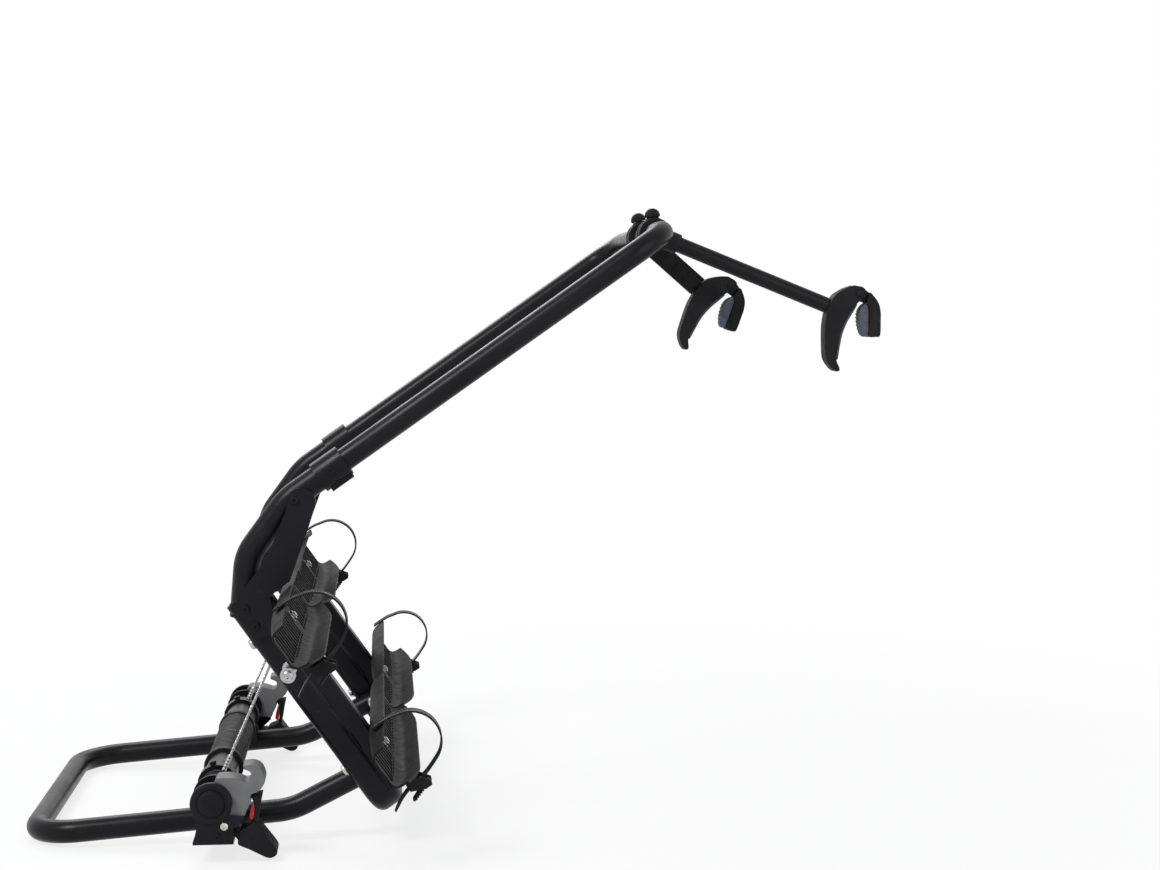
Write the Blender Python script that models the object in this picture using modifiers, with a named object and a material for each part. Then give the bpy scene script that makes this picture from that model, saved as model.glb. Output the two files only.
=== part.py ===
"""Tilting bicycle carrier for a caravan drawbar, at rest with its platform tipped back for access.

World frame: +X runs towards the towing vehicle, +Y across the drawbar, +Z up. The origin lies midway
between the two lock brackets. Platform shapes are drawn in the platform's own level frame, whose origin
is the tilt hinge, and hang from an empty there that tips them all.
"""
import math

import bmesh
import bpy
from mathutils import Matrix, Vector

# Gap kept between pieces that touch, and how far a riveted head is sunk into what it is joined to
GAP = 0.0003
SUNK = 0.0002

# How far a shape that cuts passes what it cuts, and how near points are welded
THROUGH = 0.01
WELD = 1e-6

# Tilt hinge of the platform and its angle at rest
HINGE_X = 0.190
HINGE_Z = 0.079
TILT = math.radians(54.8)
HINGE_BOLT_R = 0.006
HINGE_BOLT_DEPTH = 0.010
HINGE_BOLT_HEAD_R = 0.0100
HINGE_BOLT_HEAD_HIGH = 0.0065
HINGE_EYE_R = 0.0085
HINGE_EYE_PROUD = 0.0005
HINGE_FLANGE_R = 0.0125

# Base frame: one tube bent round the drawbar
BASE_TUBE_R = 0.015
BASE_WALL = 0.002
BASE_HALF_WIDTH = 0.235
BASE_REAR_X = -0.249
BASE_REAR_Z = -0.0005
BASE_REAR_BEND = 0.06
BASE_RISE_X = 0.085
BASE_RISE_Z = 0.026
BASE_RISE_BEND = 0.10
BASE_OVERRUN = 0.010

# Cross tube between the locks, and what sits on it
CROSS_X = -0.0107
CROSS_Z = 0.0605
CROSS_BORE_R = 0.0155
CROSS_END_R = 0.019
CROSS_MID_R = 0.0215
CROSS_SLEEVE_R = 0.0245
CROSS_RIM_R = 0.0265
CROSS_SLEEVE_HALF = 0.120
CROSS_RIM_WIDTH = 0.014
CLAMP_IN = BASE_HALF_WIDTH - 0.0185
CLAMP_RING_OUT = BASE_HALF_WIDTH + 0.0015
CLAMP_R = 0.0262
CLAMP_HALF_LENGTH = 0.024
CLAMP_NECK_HALF = 0.019
CLAMP_WALL = 0.002
CLAMP_BOTTOM = 0.0150
CLAMP_SCREW_LEAN = math.radians(104)
CLAMP_SCREW_R = 0.0024
CLAMP_SCREW_HEAD_R = 0.0046
CLAMP_SCREW_HEAD_HIGH = 0.0038

# Platform frame: oval tube bent to a U, open at its rear ends
FRAME_WIDE = 0.032
FRAME_HIGH = 0.040
FRAME_WALL = 0.0025
FRAME_ROUND = 0.013
FRAME_Z = -0.0047
FRAME_REAR_X = -0.284
FRAME_FRONT_X = 0.0375
FRAME_BEND = 0.022
FRAME_SIDE_SPACE = 0.003
FRAME_HALF_WIDTH = BASE_HALF_WIDTH + BASE_TUBE_R + FRAME_SIDE_SPACE + FRAME_WIDE / 2
FRAME_FACE = FRAME_HALF_WIDTH + FRAME_WIDE / 2
TRACK_WIDE = 0.029
TRACK_HIGH = 0.0166
TRACK_WALL = 0.0025
TRACK_FRONT_X = 0.030
INSERT_R = 0.011
STAY_X = -0.217
STAY_Z = 0.0195
STAY_R = 0.0125
STAY_WALL = 0.002

# Lock bracket outside each end of the cross tube, given by distance from the middle plane
CHEEK = 0.004
HOOK_WIDE = 0.036
HOOK_SIDE_GAP = 0.002
INNER_CHEEK_Y = FRAME_FACE + 0.0075
HOOK_IN = INNER_CHEEK_Y + CHEEK + HOOK_SIDE_GAP
HOOK_OUT = HOOK_IN + HOOK_WIDE
OUTER_CHEEK_Y = HOOK_OUT + HOOK_SIDE_GAP
BRACKET_IN = BASE_HALF_WIDTH + 0.0055
FLOOR_Z = 0.0085
FLOOR_THICK = 0.004
BRACKET_LEFT = -0.0334
BRACKET_RIGHT = 0.0165
BRACKET_DISC_R = 0.0263
COVER_THICK = 0.0062

# Catch hook: its outline follows arcs about its pivot
HOOK_X = 0.0055
HOOK_Z = 0.0320
HOOK_HUB_R = 0.0095
HOOK_BOLT_R = 0.004
HOOK_BOLT_HEAD_R = 0.0054
HOOK_BOLT_HEAD_HIGH = 0.0045
HOOK_LIP_R = 0.0595
HOOK_BEAK_R = 0.0740
HOOK_THROAT_ANGLE = math.radians(66.4)

# Pedal and pawl lever
PEDAL_X = -0.0031
PEDAL_Z = 0.0183
PEDAL_HUB_R = 0.0054
PEDAL_PIN_R = 0.003
PEDAL_PIN_HEAD_R = 0.0043
PEDAL_PIN_HEAD_HIGH = 0.0030
PAWL_INSET = 0.004
MARKER_INSET = 0.006

# Studs that the hooks catch
STUD_X = -0.1753
STUD_Z = -0.0038
STUD_R = 0.006
STUD_WASHER_R = 0.010
STUD_HEAD_R = 0.0065
STUD_COLLAR_R = 0.0095
STUD_DEPTH = 0.009

# Check cables
CABLE_Y = BASE_HALF_WIDTH + 0.008
CABLE_R = 0.0018
FERRULE_R = 0.0033
FERRULE_LONG = 0.022

# Hoop and the stubs that it slides in
LEG_X = -0.351
LEG_R = 0.015
LEG_WALL = 0.0018
STUB_WALL = 0.0017
STUB_R = LEG_R + GAP + STUB_WALL
STUB_REACH = 0.016
LEG_HALF_WIDTH = FRAME_HALF_WIDTH + STUB_REACH - STUB_R
STUB_TOP = 0.203
HOOP_FOOT = 0.139
HOOP_TOP = 0.715
HOOP_BEND = 0.055
COLLAR_WALL = 0.0035
COLLAR_R = STUB_R + GAP + COLLAR_WALL
COLLAR_SIDES = 16
COLLAR_LOW = 0.166
COLLAR_HIGH = 0.2065
COLLAR_LUG_LONG = 0.0037
COLLAR_LUG_X = LEG_X + COLLAR_R + COLLAR_LUG_LONG
COLLAR_LUG_HALF = 0.009
COLLAR_SCREW_R = 0.0028
COLLAR_SCREW_Z = 0.185
COLLAR_SCREW_HEAD = (0.0048, 0.0040)
LUG_SCREW_R = 0.0022
LUG_SCREW_HEAD = (0.0040, 0.0030)

# Gusset plates outside the stubs
GUSSET_THICK = 0.006
GUSSET_SCREW_R = 0.003
GUSSET_SCREW_HEAD_R = 0.0052
GUSSET_SCREW_HEAD_HIGH = 0.0035
GUSSET_RAIL_HOLES = ((-0.270, -0.004), (-0.245, -0.006))
GUSSET_STUB_HOLE = (-0.3467, 0.1265)

# Arms clamped on the hoop's top bar
ARM_HUB_WALL = 0.0067
ARM_HUB_R = LEG_R + GAP + ARM_HUB_WALL
ARM_HUB_HALF = 0.016
LONG_ARM_Y = -0.14
LONG_ARM_ANGLE = math.radians(32.95)
LONG_ARM_LENGTH = 0.2574
LONG_ARM_R = 0.0107
LONG_ARM_WALL = 0.0015
SHORT_ARM_Y = -0.02
SHORT_ARM_ANGLE = math.radians(13.5)
SHORT_ARM_LENGTH = 0.1045
SHORT_ARM_HIGH = 0.028
SHORT_ARM_THICK = 0.012
LONG_KNOB_ANGLE = math.radians(150)
SHORT_KNOB_ANGLE = math.radians(159)
KNOB_R = 0.0112
KNOB_HIGH = 0.0125
KNOB_SHANK_R = 0.004

# Frame claws at the arms' ends, drawn from the arm's end
CLAW_HALF_WIDTH = 0.015
CLAW_PIVOT_X = 0.0326
CLAW_PIVOT_Z = 0.031
ARM_IN_CLAW = 0.012
CLAW_EAR_R = 0.0095
CLAW_KNUCKLE_HALF = 0.0075
CLAW_PIN_R = 0.003

# Wheel trays
TRAY_X = (-0.2225, -0.0245)
TRAY_SHIFT = (-0.045, 0.045)
TRAY_LONG = 0.49
TRAY_BREAK = 0.010
TRAY_HALF_WIDTH = 0.040
TRAY_END_HALF_WIDTH = 0.0275
TRAY_WALL_HIGH = 0.030
TRAY_STRAIGHT = 0.55
TRAY_END_DROP = 0.35
TRAY_SKIN = 0.0026
TRAY_BOLT_R = 0.004
TRAY_NUT_R = 0.0068
TRAY_NUT_HIGH = 0.0055
TRAY_HEAD_HIGH = 0.0045
TRAY_BOLT_X = (TRAY_X[0] - 0.004, TRAY_X[1])

# Wheel straps and their buckles
STRAP_INSET = 0.075
STRAP_WIDE = 0.020
STRAP_THICK = 0.0024
BUCKLE_WIDE = 0.028
BUCKLE_PIN = (0.0135, 0.001)
LEVER_PIN_R = 0.002

NEAR, FAR = -1, 1
SIDES = (("near", NEAR), ("far", FAR))


def clear_scene():
    for obj in list(bpy.data.objects):
        bpy.data.objects.remove(obj, do_unlink=True)


def new_collection(name):
    collection = bpy.data.collections.new(name)
    bpy.context.scene.collection.children.link(collection)
    return collection


clear_scene()
PARTS = new_collection("caravan_bike_carrier")
GUIDES = new_collection("guides")

# Colour, roughness and metallic value of each finish
FINISHES = {
    "black_coat": ((0.022, 0.022, 0.028), 0.42, 0.0),
    "black_plastic": ((0.018, 0.018, 0.020), 0.55, 0.0),
    "grey_hook": ((0.20, 0.20, 0.20), 0.55, 0.2),
    "zinc": ((0.72, 0.72, 0.70), 0.35, 0.9),
    "stainless": ((0.62, 0.62, 0.62), 0.30, 1.0),
    "red_plastic": ((0.50, 0.005, 0.02), 0.45, 0.0),
    "grey_rubber": ((0.075, 0.085, 0.105), 0.80, 0.0),
}


def finish(obj, name):
    """Give the object a material of its own in the named finish."""
    colour, roughness, metallic = FINISHES[name]
    material = bpy.data.materials.new(obj.name)
    material.use_nodes = True
    shader = material.node_tree.nodes["Principled BSDF"]
    shader.inputs["Base Color"].default_value = (*colour, 1.0)
    shader.inputs["Roughness"].default_value = roughness
    shader.inputs["Metallic"].default_value = metallic
    material.diffuse_color = (*colour, 1.0)
    obj.data.materials.clear()
    obj.data.materials.append(material)
    return obj


class Pivot:
    """An empty on a joint's axis. Shapes drawn in its frame hang from it unmoved."""

    def __init__(self, name, parent, place, turn=0.0, redraw=False):
        self.empty = bpy.data.objects.new(name, None)
        self.empty.empty_display_size = 0.02
        GUIDES.objects.link(self.empty)
        place = Vector(place)
        if parent is not None:
            self.empty.parent = parent.empty
            self.empty.location = place - parent.drawn_from
        else:
            self.empty.location = place
        self.empty.rotation_euler = (0.0, turn, 0.0)
        self.drawn_from = Vector((0.0, 0.0, 0.0)) if redraw else place

    def hold(self, obj):
        obj.parent = self.empty
        obj.location = -self.drawn_from


def part(obj, name, pivot, look):
    """Name a finished shape, hang it from its pivot and give it its finish."""
    obj.name = name
    obj.data.name = name
    if pivot is not None:
        pivot.hold(obj)
    finish(obj, look)
    obj.data.shade_smooth()
    obj.data.set_sharp_from_angle(angle=math.radians(35))
    return obj


def mesh_object(bm):
    bm.normal_update()
    bmesh.ops.recalc_face_normals(bm, faces=bm.faces)
    mesh = bpy.data.meshes.new("shape")
    bm.to_mesh(mesh)
    bm.free()
    obj = bpy.data.objects.new("shape", mesh)
    PARTS.objects.link(obj)
    return obj


def evaluated_mesh(obj):
    depsgraph = bpy.context.evaluated_depsgraph_get()
    depsgraph.update()
    return bpy.data.meshes.new_from_object(obj.evaluated_get(depsgraph))


def solid(obj):
    """The object's evaluated shape as a plain mesh object, with loose caps welded."""
    mesh = evaluated_mesh(obj)
    bm = bmesh.new()
    bm.from_mesh(mesh)
    bm.transform(obj.matrix_world)
    bmesh.ops.remove_doubles(bm, verts=bm.verts, dist=WELD)
    bpy.data.objects.remove(obj, do_unlink=True)
    return mesh_object(bm)


def boolean(obj, tools, operation):
    for tool in tools:
        modifier = obj.modifiers.new(operation.lower(), "BOOLEAN")
        modifier.operation = operation
        modifier.object = tool
    bpy.context.view_layer.update()
    result = solid(obj)
    for tool in tools:
        bpy.data.objects.remove(tool, do_unlink=True)
    return result


def cut(obj, *tools):
    return boolean(obj, tools, "DIFFERENCE")


def join(obj, *tools):
    return boolean(obj, tools, "UNION")


def box(low, high):
    low, high = Vector(low), Vector(high)
    bm = bmesh.new()
    bmesh.ops.create_cube(bm, size=1.0)
    bmesh.ops.scale(bm, vec=high - low, verts=bm.verts)
    bmesh.ops.translate(bm, vec=(low + high) / 2, verts=bm.verts)
    return mesh_object(bm)


def side_box(side, low, high):
    """A box whose Y limits are distances from the middle plane."""
    y = sorted((side * low[1], side * high[1]))
    return box((low[0], y[0], low[2]), (high[0], y[1], high[2]))


def along(direction):
    """Rotation that takes +Z to the direction."""
    return Vector((0, 0, 1)).rotation_difference(Vector(direction)).to_matrix().to_4x4()


def rod(start, end, radius, sides=20):
    start, end = Vector(start), Vector(end)
    bm = bmesh.new()
    bmesh.ops.create_cone(bm, cap_ends=True, segments=sides, radius1=radius, radius2=radius,
                          depth=(end - start).length)
    bm.transform(Matrix.Translation((start + end) / 2) @ along(end - start))
    return mesh_object(bm)


def turned(profile, place, direction, sides=20, ring=False):
    """A lathe shape. The profile's pairs are radius and height, from the top down the outside."""
    mesh = bpy.data.meshes.new("profile")
    points = [(radius, 0.0, height) for radius, height in profile]
    edges = [(i, i + 1) for i in range(len(points) - 1)]
    if ring:
        edges.append((len(points) - 1, 0))
    mesh.from_pydata(points, edges, [])
    obj = bpy.data.objects.new("turned", mesh)
    PARTS.objects.link(obj)
    screw = obj.modifiers.new("screw", "SCREW")
    screw.steps = sides
    screw.render_steps = sides
    screw.use_merge_vertices = True
    screw.merge_threshold = WELD
    obj.matrix_world = Matrix.Translation(Vector(place)) @ along(direction)
    bpy.context.view_layer.update()
    return solid(obj)


def bolt(seat, direction, head_r, head_high, shank_r, shank_long, sides=12):
    """A socket bolt whose head stands on the seat and whose shank goes the other way."""
    socket_r = head_r * 0.5
    profile = [
        (0.0, head_high * 0.45), (socket_r, head_high * 0.45), (socket_r, head_high), (head_r, head_high),
        (head_r, 0.0), (shank_r, 0.0), (shank_r, -shank_long), (0.0, -shank_long),
    ]
    return turned(profile, seat, direction, sides)


def rounded(points, radius, steps=5, closed=False):
    """The points with each inner corner turned into an arc."""
    corners = [Vector(p).to_3d() for p in points]
    radii = list(radius) if isinstance(radius, (list, tuple)) else [radius] * len(corners)
    result = []
    for i, corner in enumerate(corners):
        if radii[i] <= 0 or (not closed and i in (0, len(corners) - 1)):
            result.append(corner)
            continue
        before = (corners[i - 1] - corner).normalized()
        after = (corners[(i + 1) % len(corners)] - corner).normalized()
        half = before.angle(after) / 2
        start = corner + before * radii[i] / math.tan(half)
        centre = corner + (before + after).normalized() * radii[i] / math.sin(half)
        spoke = start - centre
        axis = before.cross(after)
        for k in range(steps + 1):
            turn = Matrix.Rotation(-(math.pi - 2 * half) * k / steps, 3, axis)
            result.append(centre + turn @ spoke)
    return result


def arc(centre, radius, start, end, steps):
    """Points of a circle between two angles, in degrees."""
    angles = [math.radians(start + (end - start) * k / steps) for k in range(steps + 1)]
    return [(centre[0] + radius * math.cos(a), centre[1] + radius * math.sin(a)) for a in angles]


def poly_curve(splines, dimensions):
    curve = bpy.data.curves.new("curve", "CURVE")
    curve.dimensions = dimensions
    for points, cyclic in splines:
        spline = curve.splines.new("POLY")
        spline.points.add(len(points) - 1)
        for point, place in zip(spline.points, points):
            point.co = (*Vector(place).to_3d(), 1.0)
        spline.use_cyclic_u = cyclic
    obj = bpy.data.objects.new("curve", curve)
    PARTS.objects.link(obj)
    return obj


PLANES = {
    "XZ": Matrix.Rotation(math.radians(90), 4, "X"),
    "YZ": Matrix(((0, 0, 1, 0), (1, 0, 0, 0), (0, 1, 0, 0), (0, 0, 0, 1))),
}


def plate(outline, low, high, plane="XZ", holes=()):
    """A flat outline between two heights of the axis square to its plane."""
    low, high = sorted((low, high))
    obj = poly_curve([(outline, True)] + [(hole, True) for hole in holes], "2D")
    obj.data.fill_mode = "BOTH"
    obj.data.extrude = (high - low) / 2
    square = PLANES[plane].to_3x3() @ Vector((0, 0, 1))
    middle = Vector([abs(c) for c in square]) * (low + high) / 2
    obj.matrix_world = Matrix.Translation(middle) @ PLANES[plane]
    bpy.context.view_layer.update()
    return solid(obj)


def circle(centre, radius, sides=16):
    return arc(centre, radius, 0, 360 * (sides - 1) / sides, sides - 1)


def tube(path, radius, resolution=4):
    """A round bar along the path."""
    obj = poly_curve([(path, False)], "3D")
    obj.data.bevel_depth = radius
    obj.data.bevel_resolution = resolution
    obj.data.use_fill_caps = True
    obj.data.twist_mode = "MINIMUM"
    bpy.context.view_layer.update()
    return solid(obj)


def lengthened(path, extra):
    """The path with both ends carried on straight."""
    first = path[0] + (path[0] - path[1]).normalized() * extra
    last = path[-1] + (path[-1] - path[-2]).normalized() * extra
    return [first, *path[1:-1], last]


def pipe(path, radius, wall):
    """A tube with open ends."""
    return cut(tube(path, radius), tube(lengthened(path, 0.004), radius - wall))


def oval(path, wide, high, corner, steps):
    """A bar of rounded oblong section along a level path."""
    half_wide, half_high = wide / 2, high / 2
    outline = rounded([(-half_wide, -half_high), (half_wide, -half_high), (half_wide, half_high),
                       (-half_wide, half_high)], corner, steps, closed=True)
    section = poly_curve([(outline, True)], "2D")
    obj = poly_curve([(path, False)], "3D")
    obj.data.bevel_mode = "OBJECT"
    obj.data.bevel_object = section
    obj.data.use_fill_caps = True
    obj.data.twist_mode = "Z_UP"
    bpy.context.view_layer.update()
    result = solid(obj)
    bpy.data.objects.remove(section, do_unlink=True)
    return result


def level_point(x, y, z):
    """World place, at rest, of a point in the platform's level frame."""
    dx = x * math.cos(TILT) + z * math.sin(TILT)
    dz = -x * math.sin(TILT) + z * math.cos(TILT)
    return Vector((HINGE_X + dx, y, HINGE_Z + dz))


# Base frame and what is fixed to it

def base_side(side):
    """Axis of the base tube on one side, from the hinge end back to the rear bar."""
    rise = Vector((BASE_RISE_X, 0, BASE_RISE_Z))
    hinge = Vector((HINGE_X, 0, HINGE_Z))
    end = hinge + (hinge - rise).normalized() * BASE_OVERRUN
    y = side * BASE_HALF_WIDTH
    return [(end.x, y, end.z), (BASE_RISE_X, y, BASE_RISE_Z), (BASE_REAR_X, y, BASE_REAR_Z)]


def base_path():
    near, far = base_side(NEAR), base_side(FAR)
    radii = [0, BASE_RISE_BEND, BASE_REAR_BEND, BASE_REAR_BEND, BASE_RISE_BEND, 0]
    return rounded(near + far[::-1], radii, 5)


def base_cutter():
    """The base tube a little enlarged, to cut what sits on it."""
    return tube(lengthened(base_path(), 0.002), BASE_TUBE_R + GAP)


def build_base_frame():
    """Bent tube with a flanged eye across each end, for the tilt hinge."""
    eyes = []
    bores = []
    for _, side in SIDES:
        inner = side * (BASE_HALF_WIDTH - BASE_TUBE_R - HINGE_EYE_PROUD)
        outer = side * (FRAME_HALF_WIDTH - FRAME_WIDE / 2 - GAP)
        flange = side * (BASE_HALF_WIDTH + BASE_TUBE_R - 0.001)
        eyes.append(rod((HINGE_X, inner, HINGE_Z), (HINGE_X, outer, HINGE_Z), HINGE_EYE_R, 16))
        eyes.append(rod((HINGE_X, flange, HINGE_Z), (HINGE_X, outer, HINGE_Z), HINGE_FLANGE_R, 16))
        bores.append(rod((HINGE_X, inner - side * THROUGH, HINGE_Z),
                         (HINGE_X, outer + side * THROUGH, HINGE_Z), HINGE_BOLT_R + GAP, 16))
    frame = join(pipe(base_path(), BASE_TUBE_R, BASE_WALL), *eyes)
    part(cut(frame, *bores), "base_frame", None, "black_coat")


def build_cross_tube():
    """Turned tube with a raised sleeve in the middle and necks that reach the lock brackets."""
    end = INNER_CHEEK_Y - GAP
    neck = FRAME_HALF_WIDTH - FRAME_WIDE / 2 - 0.0025
    rim = CROSS_SLEEVE_HALF + CROSS_RIM_WIDTH
    half = [(CROSS_SLEEVE_R, CROSS_SLEEVE_HALF), (CROSS_RIM_R, CROSS_SLEEVE_HALF + 0.001),
            (CROSS_RIM_R, rim - 0.001), (CROSS_MID_R, rim), (CROSS_MID_R, neck),
            (CROSS_END_R, neck + 0.002), (CROSS_END_R, end)]
    outside = half[::-1] + [(r, -y) for r, y in half]
    profile = outside + [(CROSS_BORE_R, -end), (CROSS_BORE_R, end)]
    obj = turned(profile, (CROSS_X, 0, CROSS_Z), (0, 1, 0), 20, ring=True)
    part(obj, "cross_tube", None, "black_coat")


def build_cross_clamps():
    """Saddles on the base tubes with a ring round the cross tube, each with its locking screw."""
    for name, side in SIDES:
        ring = rod((CROSS_X, side * CLAMP_IN, CROSS_Z), (CROSS_X, side * CLAMP_RING_OUT, CROSS_Z),
                   CLAMP_R, 20)
        neck = side_box(side, (CROSS_X - CLAMP_NECK_HALF, CLAMP_IN + 0.0005, BASE_RISE_Z),
                        (CROSS_X + CLAMP_NECK_HALF, CLAMP_RING_OUT - 0.0005, CROSS_Z - 0.010))
        saddle = side_box(side, (CROSS_X - CLAMP_HALF_LENGTH, CLAMP_IN - 0.001, CLAMP_BOTTOM),
                          (CROSS_X + CLAMP_HALF_LENGTH, BASE_HALF_WIDTH + BASE_TUBE_R + CLAMP_WALL,
                           CROSS_Z - CROSS_MID_R - 2 * GAP))
        middle = side * (CLAMP_IN + CLAMP_RING_OUT) / 2
        axis = Vector((CROSS_X, middle, CROSS_Z))
        out = Vector((math.cos(CLAMP_SCREW_LEAN), 0, math.sin(CLAMP_SCREW_LEAN)))
        screw = bolt(axis + out * (CLAMP_R - SUNK), out, CLAMP_SCREW_HEAD_R, CLAMP_SCREW_HEAD_HIGH,
                     CLAMP_SCREW_R, CLAMP_R - CROSS_MID_R - 3 * GAP)
        bore = rod((CROSS_X, side * (CLAMP_IN - THROUGH), CROSS_Z),
                   (CROSS_X, side * (CLAMP_RING_OUT + 2 * THROUGH), CROSS_Z), CROSS_MID_R + GAP, 20)
        body = cut(join(ring, neck, saddle), bore, base_cutter())
        part(join(body, screw), f"{name}_cross_clamp", None, "black_coat")


def bracket_outline():
    """Side view of a lock bracket's cheek: a round head on a foot with an ear over the pedal."""
    head = arc((CROSS_X, CROSS_Z), BRACKET_DISC_R, -38, 212, 20)
    foot = FLOOR_Z + FLOOR_THICK / 2
    return head + [(BRACKET_LEFT + 0.0045, 0.030), (BRACKET_LEFT, foot), (BRACKET_RIGHT, foot),
                   (BRACKET_RIGHT, 0.028), (0.0295, 0.0400), (0.0295, 0.0436)]


def build_lock_brackets():
    """Two cheeks on a floor that reaches under the base tube, with the pedal's pin riveted through them."""
    for name, side in SIDES:
        hole = circle((HOOK_X, HOOK_Z), HOOK_BOLT_R + GAP, 12)
        cheeks = [plate(bracket_outline(), side * y, side * (y + CHEEK), holes=[hole])
                  for y in (INNER_CHEEK_Y, OUTER_CHEEK_Y)]
        face = OUTER_CHEEK_Y + CHEEK
        floor = side_box(side, (BRACKET_LEFT - 0.0005, BRACKET_IN, FLOOR_Z),
                         (BRACKET_RIGHT + 0.0003, face + 0.0005, FLOOR_Z + FLOOR_THICK))
        pin = bolt((PEDAL_X, side * (face - SUNK), PEDAL_Z), (0, side, 0), PEDAL_PIN_HEAD_R,
                   PEDAL_PIN_HEAD_HIGH, PEDAL_PIN_R, face - INNER_CHEEK_Y - 0.001)
        obj = join(cut(join(floor, *cheeks), base_cutter()), pin)
        part(obj, f"{name}_lock_bracket", None, "black_coat")


def build_lock_covers():
    """Round covers with a raised ring, on the outside of the brackets."""
    start = OUTER_CHEEK_Y + CHEEK + GAP
    r = BRACKET_DISC_R
    step = start + COVER_THICK * 0.62
    profile = [(0.0, start + COVER_THICK), (r * 0.60, start + COVER_THICK), (r * 0.66, step),
               (r * 0.90, step), (r, start + COVER_THICK * 0.25), (r, start), (0.0, start)]
    for name, side in SIDES:
        obj = turned(profile, (CROSS_X, 0, CROSS_Z), (0, side, 0), 24)
        part(obj, f"{name}_lock_cover", None, "black_plastic")


def build_hook_bolts():
    """Pivot bolts of the hooks, through both cheeks."""
    seat = OUTER_CHEEK_Y + CHEEK + GAP
    for name, side in SIDES:
        obj = bolt((HOOK_X, side * seat, HOOK_Z), (0, side, 0), HOOK_BOLT_HEAD_R, HOOK_BOLT_HEAD_HIGH,
                   HOOK_BOLT_R, seat - INNER_CHEEK_Y, 16)
        part(obj, f"{name}_hook_bolt", None, "zinc")


def hook_point(radius, angle):
    return (HOOK_X + radius * math.cos(angle), HOOK_Z + radius * math.sin(angle))


def hook_outline():
    """Lip round the pivot, throat, beak, notched right flank, hub and left flank."""
    throat_r = (HOOK_LIP_R + HOOK_BEAK_R) / 2
    throat_half = (HOOK_BEAK_R - HOOK_LIP_R) / 2
    throat = hook_point(throat_r, HOOK_THROAT_ANGLE)
    turn = math.degrees(HOOK_THROAT_ANGLE)
    lip = arc((HOOK_X, HOOK_Z), HOOK_LIP_R, 99, turn + 2, 10)
    bottom = arc(throat, throat_half, turn - 180, turn, 8)
    beak = [hook_point(HOOK_BEAK_R, math.radians(71.2)), hook_point(HOOK_BEAK_R + 0.004, math.radians(72.4)),
            (0.0325, 0.1068), (0.0390, 0.1072), (0.0463, 0.1054), (0.0512, 0.1015), (0.0548, 0.0942),
            (0.0560, 0.0866), (0.0535, 0.0803), (0.0497, 0.0753), (0.0455, 0.0722), (0.0397, 0.0705)]
    notch = [(0.0372, 0.0667), (0.0384, 0.0616), (0.0359, 0.0553), (0.0321, 0.0478), (0.0302, 0.0431),
             (0.0190, 0.0345)]
    hub = arc((HOOK_X, HOOK_Z), HOOK_HUB_R, -10, -170, 8)
    flank = [(-0.0055, 0.0420), (-0.0075, 0.0800), (-0.0068, 0.0870)]
    return lip + bottom + beak + notch + hub + flank


def build_hooks(pivots):
    for name, side in SIDES:
        obj = plate(hook_outline(), side * HOOK_IN, side * HOOK_OUT,
                    holes=[circle((HOOK_X, HOOK_Z), HOOK_BOLT_R + GAP, 12)])
        part(obj, f"{name}_hook", pivots[f"{name}_hook"], "grey_hook")


def build_pedals(pivots):
    """Foot pedal, its arm under the hook and the pawl above it, as one moulding, and the red marker."""
    arm = arc((PEDAL_X, PEDAL_Z), PEDAL_HUB_R, 80, 290, 8) + [
        (0.0100, 0.0154), (0.0180, 0.0172), (0.0240, 0.0090), (0.0300, 0.0200), (0.0205, 0.0225),
        (0.0120, 0.0208)]
    fin = [(0.0215, 0.0085), (0.0270, 0.0040), (0.0355, 0.0004), (0.0579, -0.0111), (0.0641, -0.0112),
           (0.0695, -0.0075), (0.0705, -0.0024), (0.0668, 0.0041), (0.0514, 0.0244), (0.0450, 0.0330),
           (0.0420, 0.0345), (0.0360, 0.0300), (0.0250, 0.0245)]
    pawl = [(0.0405, 0.0310), (0.0455, 0.0310), (0.0480, 0.0450), (0.0497, 0.0558), (0.0523, 0.0685),
            (0.0420, 0.0672), (0.0388, 0.0655), (0.0398, 0.0620), (0.0425, 0.0590), (0.0430, 0.0480)]
    marker = [(0.0360, 0.0385), (0.0400, 0.0372), (0.0422, 0.0450), (0.0424, 0.0560), (0.0395, 0.0563),
              (0.0368, 0.0470)]
    for name, side in SIDES:
        hole = rod((PEDAL_X, side * (HOOK_IN - THROUGH), PEDAL_Z),
                   (PEDAL_X, side * (HOOK_OUT + THROUGH), PEDAL_Z), PEDAL_PIN_R + GAP, 12)
        body = join(plate(arm, side * HOOK_IN, side * HOOK_OUT),
                    plate(fin, side * (INNER_CHEEK_Y + CHEEK), side * OUTER_CHEEK_Y),
                    plate(pawl, side * (HOOK_IN + PAWL_INSET), side * (HOOK_OUT - PAWL_INSET)))
        part(cut(body, hole), f"{name}_pedal", pivots[f"{name}_pedal"], "black_plastic")
        flag = plate(marker, side * (HOOK_IN + MARKER_INSET), side * (HOOK_OUT - MARKER_INSET))
        part(flag, f"{name}_marker", pivots[f"{name}_pedal"], "red_plastic")


def build_check_cables():
    """Wire ropes with swaged ends, from the cross tube to the platform's stay."""
    for name, side in SIDES:
        low_axis = Vector((CROSS_X, side * CABLE_Y, CROSS_Z))
        high_axis = level_point(STAY_X, side * CABLE_Y, STAY_Z)
        way = (high_axis - low_axis).normalized()
        length = (high_axis - low_axis).length - CROSS_MID_R - STAY_R - 2 * GAP
        half = [(0.0, 0.0), (FERRULE_R, 0.0), (FERRULE_R, 0.003 - FERRULE_LONG), (CABLE_R, -FERRULE_LONG)]
        profile = half + [(r, -length - z) for r, z in half[::-1]]
        start = high_axis - way * (STAY_R + GAP)
        part(turned(profile, start, way, 10), f"{name}_check_cable", None, "stainless")


# Platform

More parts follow.
